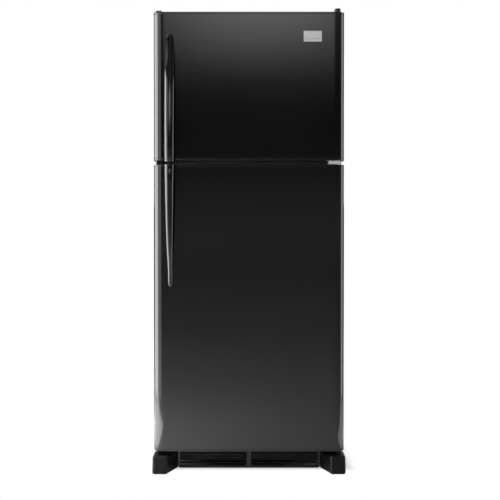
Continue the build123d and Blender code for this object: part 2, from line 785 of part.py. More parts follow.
def make_freezer_shelf():
    """Welded wire shelf: long wires across four bars."""
    bar_radius, wire_radius = 2.5, 1.6
    bars = [
        rod(bar_radius, "X", (y, FREEZER_SHELF_Z + bar_radius), span(288))
        for y in (-148, -20, 108, 236)
    ]
    wire_count = 25
    wire_half_spread = 280
    wire_z = FREEZER_SHELF_Z + 5.2
    wires = []
    for index in range(wire_count):
        x = wire_half_spread * (2 * index / (wire_count - 1) - 1)
        wires.append(rod(wire_radius, "Y", (x, wire_z), (-150, 238)))
    nodes["freezer_shelf"] = joined([*bars, *wires])


def make_evaporator_cover(freezer_space):
    """Panel across the back of the freezer, with slots before the fan and along its bottom."""
    through = (240, 260)
    fan_z = (EVAPORATOR_FAN_Z - 42, EVAPORATOR_FAN_Z + 42)
    cover = block(span(FREEZER_HALF), (248, 252), FREEZER_Z) & freezer_space
    cover -= slots(span(90), fan_z, 7, 150, 6, through)
    cover -= slots(span(260), (1206, 1226), 2, 40, 5, through)
    nodes["evaporator_cover"] = cover


def make_crispers():
    """Two drawers side by side on the floor of the fresh-food compartment."""
    front = SHELF_FRONT
    for sign, name in ((-1, "left"), (1, "right")):
        reach = side((7, 295), sign)
        tub_x = (reach[0] + 3, reach[1] - 3)
        body = tub(tub_x, (front + 2, 92), (138, 362), MOULDING, 12)
        panel = block(reach, (front, front + 4), (140, 366))
        panel = fillet(panel.edges().filter_by(Axis.Y), 6)
        grip = block((reach[0] + 20, reach[1] - 20), (front - 8, front + 1), (344, 350))
        notch = block((tub_x[0] + 15, tub_x[1] - 15), (front + 4, 20), (340, 380))
        nodes[f"crisper_drawer_{name}"] = body + panel + grip - notch


def make_deli_drawer():
    """Shallow drawer that hangs from runners under the lower shelf."""
    front = SHELF_FRONT
    body = tub(span(255), (front + 2, 150), (450, 530), MOULDING, 12)
    flanges = [block(side((254, 266), sign), (front + 14, 140), (527, 530)) for sign in (-1, 1)]
    panel = block(span(262), (front, front + 4), (448, 526))
    panel = fillet(panel.edges().filter_by(Axis.Y), 6)
    grip = block(span(120), (front - 8, front + 1), (512, 517))
    nodes["deli_drawer"] = joined([body, *flanges, panel, grip])


def make_drawer_rails():
    """Runners of the deli drawer and the guide between the crispers."""
    rails = []
    run = (-140, 160)
    for sign in (-1, 1):
        web = block(side((268, 272), sign), run, (518, SHELF_LEVELS[0]))
        rails.append(web + block(side((259, 269), sign), run, (518, 523)))
    rails.append(block(span(4), (SHELF_FRONT + 15, 94), (FRESH_Z[0] + LINER, COVER_LEVEL)))
    nodes["drawer_rails"] = group(rails)


def make_control_housing():
    """Housing of the controls and the light, on the ceiling of the fresh-food compartment."""
    ceiling = FRESH_Z[1] - LINER
    bottom = 1092.0
    half = 140
    depth = (CONTROL_FRONT, 100)
    housing = upright_fillet(block(span(half), depth, (bottom, ceiling)), 10)
    inside_y = (depth[0] + MOULDING, depth[1] - MOULDING)
    housing -= block(span(half - MOULDING), inside_y, (bottom + MOULDING, ceiling + 1))
    lens_half, lens_y, lens_wall = 60, (10, 85), 2
    lens_z = (bottom - 8, bottom + MOULDING)
    lens = block(span(lens_half), lens_y, lens_z)
    housing -= lens
    for x in KNOB_X.values():
        housing -= rod(KNOB_SHAFT + RUNNING_GAP, "Y", (x, KNOB_Z), (depth[0] - 1, depth[0] + 10))
    lens = fillet(lens.edges().group_by(Axis.Z)[0], 5)
    lens -= block(
        span(lens_half - lens_wall),
        (lens_y[0] + lens_wall, lens_y[1] - lens_wall),
        (lens_z[0] + lens_wall, lens_z[1] + 1),
    )
    nodes["control_housing"] = housing
    nodes["light_lens"] = lens


def make_knobs():
    """Round temperature knobs, each cut away on both sides of a grip bar."""
    dial_radius = 17
    grip_half = 4
    for name, x in KNOB_X.items():
        dial = rod(dial_radius, "Y", (x, KNOB_Z), (CONTROL_FRONT - 13, CONTROL_FRONT - 0.5))
        dial = fillet(dial.edges().group_by(Axis.Y)[0], 2)
        cut_y = (CONTROL_FRONT - 14, CONTROL_FRONT - 6)
        cut_z = (KNOB_Z - dial_radius - 1, KNOB_Z + dial_radius + 1)
        dial -= block((x - dial_radius, x - grip_half), cut_y, cut_z)
        dial -= block((x + grip_half, x + dial_radius), cut_y, cut_z)
        shaft = rod(KNOB_SHAFT, "Y", (x, KNOB_Z), (CONTROL_FRONT - 1, CONTROL_FRONT + 10))
        nodes[f"temperature_knob_{name}"] = dial + shaft


# ---- cooling system ----
def blades(hub_radius, tip_radius, depth, count):
    """Fan about the Z axis, centred on the origin."""
    fan = Cylinder(hub_radius, depth)
    root = hub_radius - 4
    length = tip_radius - root
    twist = 32
    for index in range(count):
        blade = Box(length, tip_radius * 0.75, 1.6)
        blade = Pos(root + length / 2, 0, 0) * Rot(twist, 0, 0) * blade
        fan += Rot(0, 0, 360 * index / count) * blade
    return fan & Cylinder(tip_radius, depth)


def serpentine(x, rows, levels):
    """Points of a coil that runs to and fro along X, up one row and down the next."""
    points = []
    ends = tuple(x)
    for index, row_y in enumerate(rows):
        for level in levels if index % 2 == 0 else reversed(levels):
            points += [(ends[0], row_y, level), (ends[1], row_y, level)]
            ends = (ends[1], ends[0])
    return points


def make_evaporator():
    """Finned coil with a heater bar under it, behind the evaporator cover."""
    tube_radius = 4
    y = 280.0
    levels = [1240 + 32 * index for index in range(8)]
    coil = tube(serpentine((-258, 258), (y,), levels), 14, tube_radius)
    fin = block((-0.3, 0.3), (y - 17, y + 17), (1226, 1478))
    for level in levels:
        fin -= rod(tube_radius, "X", (y, level), (-1, 1))
    fins = [Pos(x, 0, 0) * fin for x in range(-228, 229, 19)]
    heater = rod(4, "X", (y, 1212), span(245))
    nodes["evaporator"] = group([coil, *fins, heater])


def make_evaporator_fan():
    at = (0, EVAPORATOR_FAN_Z)
    shaft_radius = 2.5
    motor = rod(28, "Y", at, (284, FREEZER_BACK - LINER))
    motor = fillet(motor.edges().group_by(Axis.Y)[0], 4)
    nodes["evaporator_fan_motor"] = motor - rod(shaft_radius + RUNNING_GAP, "Y", at, (280, 300))
    fan = Pos(0, 268, EVAPORATOR_FAN_Z) * Rot(90, 0, 0) * blades(14, 42, 14, 5)
    nodes["evaporator_fan"] = fan + rod(shaft_radius, "Y", at, (270, 298))


def make_compressor():
    """Welded pot on a footed plate, with the start device's box on its front."""
    floor = PAN_Z + PLATE
    x, y = -180.0, 262.0
    pot = fillet(rod(72, "Z", (x, y), (floor + 18, 236)).edges(), 30)
    seam = rod(76, "Z", (x, y), (145, 151))
    plate = block((x - 92, x + 92), (y - 56, y + 56), (floor + 14, floor + 17))
    neck = rod(50, "Z", (x, y), (floor + 15, floor + 40))
    feet = []
    for foot_x in (x - 80, x + 80):
        for foot_y in (y - 44, y + 44):
            feet.append(rod(9, "Z", (foot_x, foot_y), (floor, floor + 15)))
    box = block((x - 30, x + 30), (y - 92, y - 60), (100, 160))
    nodes["compressor"] = joined([pot, seam, plate, neck, *feet, box])


def make_condenser():
    """Condenser coil, and the fan that draws air through it past a shroud."""
    floor = PAN_Z + PLATE
    at = (CONDENSER_FAN_Y, CONDENSER_FAN_Z)
    y, z = at
    shaft_radius = 3
    shroud = block((-34, -31), (152, 376), (floor, 290)) - rod(66, "X", at, (-40, -20))
    shroud += block((-38, -33), (y - 72, y + 72), (z - 9, z + 9))
    nodes["condenser_fan_shroud"] = shroud - rod(shaft_radius + 1, "X", at, (-40, -20))
    motor = rod(26, "X", at, (-76, -38))
    motor = fillet(motor.edges().group_by(Axis.X)[0], 5)
    bore = rod(shaft_radius + RUNNING_GAP, "X", at, (-60, -37))
    nodes["condenser_fan_motor"] = motor - bore
    fan = Pos(-15, *at) * Rot(0, 90, 0) * blades(16, 60, 18, 5)
    nodes["condenser_fan"] = fan + rod(shaft_radius, "X", at, (-58, -10))

    levels = [75 + 34 * index for index in range(5)]
    points = serpentine((24, 320), (190, 238, 286, 334), levels)
    nodes["condenser_coil"] = tube(points, 14, 3)


def make_drain_pan():
    """Defrost water pan on four legs, over the condenser coil."""
    pan_bottom = 250
    pan = tub((4, 340), (160, 372), (pan_bottom, 296), MOULDING, 10)
    legs = []
    for x in (12, 332):
        for y in (169, 362):
            legs.append(rod(5, "Z", (x, y), (PAN_Z + PLATE, pan_bottom + 1)))
    nodes["drain_pan"] = joined([pan, *legs])


def make_machine_cover():
    """Slotted rear cover and the power inlet that shows through it."""
    depth = (CABINET_BACK - 2, CABINET_BACK)
    through = (depth[0] - 1, depth[1] + 1)
    half = CABINET_HALF - STEEL - PLATE - 1
    vent_z = (80, 290)
    vent_rows = 12
    cover = block(span(half), depth, (PAN_Z + PLATE + 1, MACHINE_TOP - 2))
    cover -= slots((60, 320), vent_z, vent_rows, 52, 7, through)
    cover -= slots((-260, -60), vent_z, vent_rows, 40, 7, through)
    inlet_x, inlet_z = (-318, -288), (84, 108)
    cover -= block(inlet_x, through, inlet_z)
    nodes["machine_cover"] = cover

    wall = 3
    inlet = block(inlet_x, (352, CABINET_BACK), inlet_z)
    inlet -= block(
        (inlet_x[0] + wall, inlet_x[1] - wall),
        (360, through[1]),
        (inlet_z[0] + wall, inlet_z[1] - wall),
    )
    for x in (-309, -303, -297):
        inlet += rod(1.5, "Y", (x, sum(inlet_z) / 2), (359, 374))
    nodes["power_inlet"] = inlet


make_fresh_door()
make_freezer_door()
freezer_air = make_cabinet()
make_light_switch()
make_machine_compartment()
make_base_rails()
make_legs_and_rollers()
make_kickplate()
make_hinges()
make_shelves()
make_freezer_shelf()
make_crispers()
make_deli_drawer()
make_drawer_rails()
make_control_housing()
make_knobs()
make_evaporator_cover(freezer_air)
make_evaporator()
make_evaporator_fan()
make_compressor()
make_condenser()
make_drain_pan()
make_machine_cover()

os.makedirs("parts", exist_ok=True)
for name, shape in nodes.items():
    export_step(shape, f"parts/{name}.step")
print(len(nodes), "nodes")
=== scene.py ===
import json
from math import cos, pi, radians, sin

import bmesh
import bpy
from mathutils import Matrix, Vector


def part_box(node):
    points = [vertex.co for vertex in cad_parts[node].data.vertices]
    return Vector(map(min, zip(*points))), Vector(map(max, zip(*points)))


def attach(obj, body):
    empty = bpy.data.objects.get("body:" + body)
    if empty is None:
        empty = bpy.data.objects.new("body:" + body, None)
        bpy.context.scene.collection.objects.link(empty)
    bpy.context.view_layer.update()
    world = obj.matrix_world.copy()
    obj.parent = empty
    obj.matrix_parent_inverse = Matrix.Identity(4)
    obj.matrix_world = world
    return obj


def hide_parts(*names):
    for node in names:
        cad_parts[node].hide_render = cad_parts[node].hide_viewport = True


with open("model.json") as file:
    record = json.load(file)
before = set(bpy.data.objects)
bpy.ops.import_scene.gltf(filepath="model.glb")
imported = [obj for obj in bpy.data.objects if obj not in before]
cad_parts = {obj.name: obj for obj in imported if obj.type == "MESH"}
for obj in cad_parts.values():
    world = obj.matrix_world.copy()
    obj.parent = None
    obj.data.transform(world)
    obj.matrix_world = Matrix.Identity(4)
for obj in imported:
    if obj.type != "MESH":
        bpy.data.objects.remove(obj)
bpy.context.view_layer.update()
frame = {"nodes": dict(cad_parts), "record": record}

# Metres, in the frame of the CAD model: +X to the viewer's right, -Y to the front, +Z up.
MM = 0.001

# ---- doors: their upright edges are superellipses, a little proud of the CAD model's skins ----
DOOR_EDGE_LENGTH = 44 * MM
DOOR_EDGE_DEPTH = 29 * MM
DOOR_EDGE_POWER = 2.6
DOOR_EDGE_STEPS = 24
DOOR_FACE_COLUMNS = 12
DOOR_SIDE_PROUD = 1.4 * MM
DOOR_FRONT_PROUD = 1.3 * MM
SKIN = 1 * MM
SKIN_RETURN = 12 * MM
SKIN_END_ROLL = 0.9 * MM
CAP_HEIGHT = 7 * MM

# ---- handles: (share of the length from the foot, share of the reach in front of the door) ----
HANDLE_FRONT = ((0, 0.87), (0.042, 0.96), (0.134, 1), (0.37, 0.92), (0.66, 0.69), (0.89, 0.235), (1, 0.03))
HANDLE_BACK = (
    (0, 0), (0.075, 0), (0.1, 0.34), (0.15, 0.6), (0.35, 0.64), (0.66, 0.44), (0.86, 0.02), (1, 0),
)
# (share of the length from the foot, half the width in millimetres)
WIDE_GRIP = ((0, 18), (0.5, 18), (0.86, 17.2), (0.962, 13.5))
SLIM_GRIP = ((0, 18), (0.31, 15.5), (0.7, 11.6), (0.96, 8))

# ---- hinges: thickness of their plates, and their screws as in the CAD model, in millimetres ----
TOP_LEAF = 3 * MM
FRONT_PLATE = 4 * MM
TOP_SCREWS_X = (315, 340)
TOP_SCREWS_Y = (-230, -192)
TOP_SCREW_SIZE = 7.6
# (x, z, width across the flats)
FRONT_SCREWS = ((304, 1164, 6.8), (341, 1164, 6.8), (310, 74, 7.6), (342, 74, 7.6))
SCREW_SMOOTH = 25

# ---- camera: its tilt in degrees, its lens and sensor in millimetres ----
CAMERA_ASIDE = 4 * MM
CAMERA_HEIGHT = 0.895
CAMERA_TILT = 1.017
CAMERA_DISTANCE = 3.2
LENS = 61.85
SENSOR = 36

# ---- floor: how far from the origin its painted shadow turns pale, and then plain white to the camera ----
FLOOR_RADIUS = 40
PAINTED_SHADOW_FADE = (0.2, 0.34)
WHITE_ASIDE = (0.33, 0.42)
WHITE_AHEAD = (0.2, 0.29)
WHITE_BEHIND = (0.38, 0.5)

# ---- room that the surfaces reflect: heights and widths are components of a unit direction ----
ROOM_HORIZON = 0.32
ROOM_DARK = 0.07
ROOM_BEHIND = 0.3
ROOM_WALL_TOP = 0.11
ROOM_FRONT = (-0.75, -0.35)
BAND_RISE = (0.165, 0.282)
BAND_FALL = (0.285, 0.4)
BAND_LIGHT = 3.4
BAND_CENTRE = 0.015
BAND_WIDTH = (0.02, 0.19)
ABOVE_BAND = 0.08
BESIDE_BAND = 0.1

# ---- lamps: watts for each square metre at a radiance of 1, and the lamps beside the doors ----
LAMP_POWER = 4
DOOR_SIDE_AIM = (0.35, -0.3, 1.07)
BOX_AWAY = 1.4
BOX_HEIGHT = 2.1
CARD_AWAY = 0.85
CARD_LENGTH = 1.0
CARD_RAISED = 0.01
CARD_SHARE = 0.6


# ======================================================================
# Mesh helpers
# ======================================================================
def new_piece(name, mesh, body, finish, replaced=()):
    """A piece of the object made from a finished mesh, in place and riding on its body.
    """
    piece = bpy.data.objects.new(name, mesh)
    bpy.context.scene.collection.objects.link(piece)
    mesh.materials.append(FINISHES[finish])
    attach(piece, body)
    if replaced:
        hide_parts(*replaced)
    even = piece.modifiers.new("even", "WEIGHTED_NORMAL")
    even.keep_sharp = True
    return piece


def mesh_of(name, shape, smooth_below=35):
    """Turns a bmesh into a mesh, smooth except across edges sharper than the angle in degrees."""
    bmesh.ops.recalc_face_normals(shape, faces=shape.faces)
    for face in shape.faces:
        face.smooth = True
    for edge in shape.edges:
        if len(edge.link_faces) == 2 and edge.calc_face_angle(0) > radians(smooth_below):
            edge.smooth = False
    mesh = bpy.data.meshes.new(name)
    shape.to_mesh(mesh)
    shape.free()
    return mesh


def loft(shape, rings):
    """Adds a skin through rings of equally many points, closed at both ends by a face."""
    rows = [[shape.verts.new(point) for point in ring] for ring in rings]
    count = len(rows[0])
    for first, second in zip(rows, rows[1:]):
        for index in range(count):
            after = (index + 1) % count
            shape.faces.new((first[index], first[after], second[after], second[index]))
    shape.faces.new(list(reversed(rows[0])))
    shape.faces.new(rows[-1])


def arc(centre, radius, start, end, steps):
    """Points along an arc in a plane, angles in degrees."""
    points = []
    for step in range(steps + 1):
        angle = radians(start + (end - start) * step / steps)
        points.append((centre[0] + radius * cos(angle), centre[1] + radius * sin(angle)))
    return points


def rounded_rectangle(x, y, radius, steps=6):
    """Outline of a rectangle with rounded corners, anticlockwise from its lower right corner."""
    corners = (
        ((x[1] - radius, y[0] + radius), -90),
        ((x[1] - radius, y[1] - radius), 0),
        ((x[0] + radius, y[1] - radius), 90),
        ((x[0] + radius, y[0] + radius), 180),
    )
    points = []
    for centre, start in corners:
        points += arc(centre, radius, start, start + 90, steps)
    return points


def rounding(radius, steps=5):
    """(inset, height) pairs up a rounded edge, from the side to the flat."""
    pairs = []
    for step in range(steps + 1):
        angle = pi / 2 * step / steps
        pairs.append((radius * (1 - cos(angle)), radius * sin(angle)))
    return pairs


def pillow(shape, outline, low, high, soft_low, soft_high):
    """Adds an upright prism whose ends are rounded; outline(inset) gives its plan."""
    rings = []
    for inset, rise in reversed(rounding(soft_low)):
        rings.append([(x, y, low + soft_low - rise) for x, y in outline(inset)])
    for inset, rise in rounding(soft_high):
        rings.append([(x, y, high - soft_high + rise) for x, y in outline(inset)])
    loft(shape, rings)


def round_edges(piece, width, sharper_than):
    """Bevels a piece's edges by a width in metres where they are sharper than an angle in degrees."""
    bevel = piece.modifiers.new("edge", "BEVEL")
    bevel.width = width
    bevel.segments = 3
    bevel.limit_method = "ANGLE"
    bevel.angle_limit = radians(sharper_than)
    bevel.harden_normals = True


def eased(points):
    """A smooth function through (position, value) points: a cubic between each two of them."""
    places = [place for place, value in points]
    values = [value for place, value in points]
    slopes = []
    for index in range(len(points)):
        before, after = max(0, index - 1), min(len(points) - 1, index + 1)
        slopes.append((values[after] - values[before]) / (places[after] - places[before]))

    def at(place):
        place = min(max(place, places[0]), places[-1])
        index = max(i for i in range(len(places) - 1) if places[i] <= place or i == 0)
        width = places[index + 1] - places[index]
        share = (place - places[index]) / width
        square, cube = share**2, share**3
        return (
            (2 * cube - 3 * square + 1) * values[index]
            + (cube - 2 * square + share) * width * slopes[index]
            + (3 * square - 2 * cube) * values[index + 1]
            + (cube - square) * width * slopes[index + 1]
        )

    return at


# ======================================================================
# Materials
# ======================================================================
class Finish:
    """A material being built: one Principled shader fed by a few object-space patterns."""

    def __init__(self, name, colour, roughness, metallic=0.0):
        self.material = bpy.data.materials.new(name)
        self.material.use_nodes = True
        self.tree = self.material.node_tree
        self.shader = self.tree.nodes["Principled BSDF"]
        self.shader.inputs["Base Color"].default_value = (*colour, 1)
        self.shader.inputs["Roughness"].default_value = roughness
        self.shader.inputs["Metallic"].default_value = metallic
        self.colour = colour
        self.place = self.tree.nodes.new("ShaderNodeTexCoord").outputs["Object"]
        self.bumped = None

    def link(self, output, target):
        self.tree.links.new(output, target)

    def stretched(self, scale):
        """Coordinates scaled apart along each axis."""
        mapping = self.tree.nodes.new("ShaderNodeMapping")
        mapping.inputs["Scale"].default_value = scale
        self.link(self.place, mapping.inputs["Vector"])
        return mapping.outputs["Vector"]

    def noise(self, scale, detail=3, stretch=(1, 1, 1)):
        texture = self.tree.nodes.new("ShaderNodeTexNoise")
        texture.inputs["Scale"].default_value = scale
        texture.inputs["Detail"].default_value = detail
        self.link(self.stretched(stretch), texture.inputs["Vector"])
        return texture.outputs["Fac"]

    def cells(self, scale):
        texture = self.tree.nodes.new("ShaderNodeTexVoronoi")
        texture.inputs["Scale"].default_value = scale
        self.link(self.place, texture.inputs["Vector"])
        return texture

    def remap(self, value, low, high, from_low=0.3, from_high=0.7):
        node = self.tree.nodes.new("ShaderNodeMapRange")
        node.inputs["From Min"].default_value = from_low
        node.inputs["From Max"].default_value = from_high
        node.inputs["To Min"].default_value = low
        node.inputs["To Max"].default_value = high
        self.link(value, node.inputs["Value"])
        return node.outputs["Result"]

    def tint(self, value, dark, light):
        """Base colour between two shades of the material's colour."""
        mix = self.tree.nodes.new("ShaderNodeMix")
        mix.data_type = "RGBA"
        mix.inputs["A"].default_value = (*[c * dark for c in self.colour], 1)
        mix.inputs["B"].default_value = (*[min(1, c * light) for c in self.colour], 1)
        self.link(value, mix.inputs["Factor"])
        self.link(mix.outputs["Result"], self.shader.inputs["Base Color"])
        return self

    def rough(self, value, low, high):
        self.link(self.remap(value, low, high), self.shader.inputs["Roughness"])
        return self

    def bump(self, value, distance, strength=1.0):
        """Height pattern; further calls lie on top of the first."""
        node = self.tree.nodes.new("ShaderNodeBump")
        node.inputs["Distance"].default_value = distance
        node.inputs["Strength"].default_value = strength
        self.link(value, node.inputs["Height"])
        if self.bumped:
            self.link(self.bumped, node.inputs["Normal"])
        self.bumped = node.outputs["Normal"]
        self.link(self.bumped, self.shader.inputs["Normal"])
        return self

    def set(self, **values):
        for name, value in values.items():
            self.shader.inputs[name.replace("_", " ")].default_value = value
        return self


def door_paint():
    """Deep black enamel on rolled sheet: a faint waviness and orange peel under a clear gloss."""
    f = Finish("door_enamel", (0.0015, 0.0015, 0.0016), 0.1)
    f.tint(f.noise(6), 0.8, 1.25)
    f.rough(f.noise(9, 4), 0.095, 0.115)
    f.bump(f.noise(3.0, 1), 0.0004, 0.35)
    f.bump(f.noise(420, 2), 0.00003, 0.25)
    return f.material


def cabinet_paint():
    """Black enamel with the fine leather grain of cabinet sides."""
    f = Finish("cabinet_enamel", (0.014, 0.014, 0.0148), 0.42)
    f.tint(f.noise(14), 0.8, 1.25)
    f.rough(f.noise(30, 4), 0.38, 0.47)
    f.bump(f.cells(520).outputs["Distance"], 0.00025, 0.55)
    f.bump(f.noise(4, 1), 0.0005, 0.2)
    return f.set(Specular_IOR_Level=0.2).material


def gloss_black():
    """Glossy black moulding of the handles."""
    f = Finish("handle_gloss", (0.002, 0.002, 0.0021), 0.12)
    f.tint(f.noise(22), 0.7, 1.4)
    f.rough(f.noise(40, 5), 0.1, 0.14)
    f.bump(f.noise(160, 2), 0.00004, 0.3)
    return f.material


def black_plastic():
    """Satin black moulding with a fine spark-eroded grain."""
    f = Finish("satin_black", (0.007, 0.007, 0.0071), 0.22)
    f.tint(f.noise(35), 0.75, 1.35)
    f.rough(f.noise(60, 4), 0.18, 0.26)
    f.bump(f.noise(1400, 3), 0.00006, 0.5)
    f.bump(f.noise(18, 2), 0.0003, 0.2)
    return f.set(Specular_IOR_Level=0.3).material


def foot_plastic():
    """Dark satin moulding of the foot covers, a little scuffed."""
    f = Finish("foot_moulding", (0.006, 0.006, 0.0062), 0.3)
    f.tint(f.noise(28, 4), 0.8, 1.3)
    f.rough(f.noise(50, 5), 0.25, 0.36)
    f.bump(f.noise(1200, 3), 0.00006, 0.5)
    return f.set(Specular_IOR_Level=0.12).material


def mullion_painted_light():
    """Dark grey enamel of the strip between the doors: painted light, a lighter grey than the black
    cabinet enamel to make up for the shade in the gap.
    """
    f = Finish("mullion_painted_light_enamel", (0.14, 0.14, 0.143), 0.4)
    f.tint(f.noise(14), 0.85, 1.2)
    f.rough(f.noise(30, 4), 0.35, 0.47)
    f.bump(f.cells(520).outputs["Distance"], 0.0002, 0.5)
    return f.material


def gasket():
    """Soft dark vinyl with long draw lines and a little dust."""
    f = Finish("gasket_vinyl", (0.045, 0.045, 0.047), 0.62)
    f.tint(f.noise(50, 4), 0.7, 1.5)
    f.rough(f.noise(25, 4), 0.52, 0.72)
    f.bump(f.noise(60, 2, (0.1, 14, 0.1)), 0.0003, 0.5)
    return f.material


def liner():
    """Vacuum-formed white sheet: slightly wavy, with a soft shine."""
    f = Finish("liner_sheet", (0.78, 0.79, 0.785), 0.3)
    f.tint(f.noise(4), 0.985, 1.01)
    f.rough(f.noise(16, 4), 0.27, 0.36)
    f.bump(f.noise(6, 1), 0.0008, 0.15)
    f.bump(f.noise(900, 2), 0.00004, 0.4)
    return f.material


def white_plastic():
    """Satin white moulding."""
    f = Finish("satin_white", (0.76, 0.765, 0.76), 0.42)
    f.tint(f.noise(25), 0.95, 1.03)
    f.rough(f.noise(45, 4), 0.34, 0.5)
    f.bump(f.noise(1200, 3), 0.00005, 0.5)
    return f.material


def clear_plastic():
    """Clear moulded polystyrene with flow lines and fine scuffs."""
    f = Finish("clear_styrene", (0.7, 0.78, 0.83), 0.12)
    f.tint(f.noise(8), 0.93, 1.05)
    f.rough(f.noise(70, 5), 0.07, 0.22)
    f.bump(f.noise(12, 2, (1, 1, 2.5)), 0.001, 0.25)
    return f.set(Alpha=0.26, IOR=1.58).material


def shelf_glass():
    """Tempered glass, green by its thickness, with faint handling marks."""
    f = Finish("tempered_glass", (0.62, 0.8, 0.74), 0.05)
    f.tint(f.noise(6), 0.9, 1.06)
    f.rough(f.noise(14, 5), 0.02, 0.12)
    f.bump(f.noise(2.5, 1), 0.001, 0.1)
    return f.set(Alpha=0.28, IOR=1.52).material


def steel(name, colour, grain, low, high):
    """Plated sheet steel, brushed along one axis."""
    f = Finish(name, colour, 0.3, 0.6)
    f.tint(f.noise(40, 4, grain), 0.8, 1.08)
    f.rough(f.noise(70, 5, grain), low, high)
    f.bump(f.noise(120, 4, grain), 0.00008, 0.5)
    return f.material


def galvanised():
    """Hot-dip galvanised sheet with its crystal flakes."""
    f = Finish("galvanised_sheet", (0.46, 0.475, 0.48), 0.4, 0.85)
    flakes = f.cells(110)
    f.tint(f.remap(flakes.outputs["Color"], 0, 1, 0.1, 0.9), 0.86, 1.08)
    f.rough(flakes.outputs["Color"], 0.36, 0.46)
    f.bump(f.noise(5, 2), 0.001, 0.3)
    f.bump(f.noise(300, 3), 0.00006, 0.5)
    return f.material


def evaporator_metal():
    """Mill-finish aluminium with a light oxide bloom."""
    f = Finish("mill_aluminium", (0.72, 0.73, 0.74), 0.35, 0.9)
    f.tint(f.noise(60, 4), 0.75, 1.06)
    f.rough(f.noise(120, 4, (4, 1, 1)), 0.26, 0.5)
    f.bump(f.noise(400, 2, (6, 1, 1)), 0.00005, 0.5)
    return f.material


def shelf_wire():
    """White coated wire."""
    f = Finish("wire_coating", (0.78, 0.78, 0.775), 0.3)
    f.tint(f.noise(30), 0.93, 1.03)
    f.rough(f.noise(80, 4), 0.22, 0.42)
    f.bump(f.noise(260, 2), 0.0001, 0.35)
    return f.material


def black_paint(name, gloss):
    """Sprayed black paint on steel, with dust on it."""
    f = Finish(name, (0.014, 0.014, 0.014), gloss)
    f.tint(f.noise(18, 5), 0.7, 2.0)
    f.rough(f.noise(26, 5), gloss - 0.07, gloss + 0.13)
    f.bump(f.noise(220, 3), 0.0001, 0.5)
    return f.material


def badge_metal():
    """Brushed plate, its grain running across."""
    f = Finish("badge_plate", (0.66, 0.66, 0.66), 0.36, 0.8)
    f.tint(f.noise(200, 4, (0.05, 1, 3)), 0.88, 1.06)
    f.rough(f.noise(200, 4, (0.05, 1, 3)), 0.28, 0.42)
    f.bump(f.noise(500, 3, (0.05, 1, 3)), 0.00004, 0.5)
    return f.material


def fan_plastic():
    """Dark grey moulded fan."""
    f = Finish("fan_moulding", (0.07, 0.07, 0.072), 0.45)
    f.tint(f.noise(30), 0.8, 1.3)
    f.rough(f.noise(60, 4), 0.38, 0.56)
    f.bump(f.noise(900, 2), 0.00006, 0.4)
    return f.material


def insulation_foam():
    """Rigid foam: tan, with small broken bubbles."""
    f = Finish("rigid_foam", (0.78, 0.64, 0.36), 0.85)
    f.tint(f.noise(25, 5), 0.8, 1.15)
    f.rough(f.noise(90, 3), 0.78, 0.95)
    f.bump(f.cells(420).outputs["Distance"], 0.0008, 0.8)
    f.bump(f.noise(20, 4), 0.002, 0.3)
    return f.material


def roller_plastic():
    """Hard grey nylon, scuffed by the floor."""
    f = Finish("roller_nylon", (0.14, 0.14, 0.14), 0.5)
    f.tint(f.noise(70, 5), 0.7, 1.5)
    f.rough(f.noise(110, 5), 0.4, 0.68)
    f.bump(f.noise(180, 4), 0.0002, 0.4)
    return f.material


FINISHES = {
    "door_paint": door_paint(),
    "cabinet_paint": cabinet_paint(),
    "gloss_black": gloss_black(),
    "black_plastic": black_plastic(),
    "foot_plastic": foot_plastic(),
    "mullion_painted_light": mullion_painted_light(),
    "gasket": gasket(),
    "liner": liner(),
    "white_plastic": white_plastic(),
    "clear_plastic": clear_plastic(),
    "shelf_glass": shelf_glass(),
    "hinge_steel": steel("zinc_hinge", (0.86, 0.86, 0.85), (1, 6, 6), 0.26, 0.4),
    "galvanised": galvanised(),
    "screw_steel": steel("zinc_screw", (0.6, 0.6, 0.59), (3, 3, 3), 0.25, 0.45),
    "evaporator_metal": evaporator_metal(),
    "shelf_wire": shelf_wire(),
    "compressor_paint": black_paint("compressor_enamel", 0.3),
    "condenser_paint": black_paint("condenser_enamel", 0.45),
    "badge_metal": badge_metal(),
    "fan_plastic": fan_plastic(),
    "insulation_foam": insulation_foam(),
    "roller_plastic": roller_plastic(),
}

# ======================================================================
# CAD nodes that stay: each takes its finish, and the listed ones a fine edge, in millimetres
# ======================================================================
EDGES = {
    "cabinet_shell": 0.8,
    "mullion_front_bar": 0.3,
    "freezer_liner": 1.2,
    "fresh_food_liner": 1.2,
    "machine_compartment": 0.3,
    "rear_panel": 0.3,
    "machine_cover": 0.4,
    "base_rails": 0.4,
    "top_hinge": 0.5,
    "top_hinge_cover": 1.2,
    "centre_hinge": 0.5,
    "bottom_hinge": 0.5,
    "evaporator_cover": 0.5,
    "shelf_glass": 0.6,
    "shelf_trims": 0.7,
    "drawer_rails": 0.5,
    "control_housing": 0.9,
    "light_lens": 0.8,
    "condenser_fan_shroud": 0.6,
    "drain_pan": 0.8,
    "power_inlet": 0.5,
    "freezer_door_gasket": 1.2,
    "fresh_door_gasket": 1.2,
    "freezer_door_liner": 1.5,
    "fresh_door_liner": 1.5,
    "freezer_door_bins": 0.8,
    "fresh_door_bins": 0.8,
    "dairy_lid": 0.5,
    "crisper_drawer_left": 0.8,
    "crisper_drawer_right": 0.8,
    "deli_drawer": 0.8,
    "temperature_knob_freezer": 0.4,
    "temperature_knob_fresh": 0.4,
}


def soften(node, width):
    """Rounds a CAD node's sharp edges with modifiers, which leave its mesh as it is."""
    same_place, same_plane, sharp = 0.01 * MM, 0.5, 40
    piece = frame["nodes"][node]
    weld = piece.modifiers.new("weld", "WELD")
    weld.merge_threshold = same_place
    flat = piece.modifiers.new("flat", "DECIMATE")
    flat.decimate_type = "DISSOLVE"
    flat.angle_limit = radians(same_plane)
    round_edges(piece, width * MM, sharp)


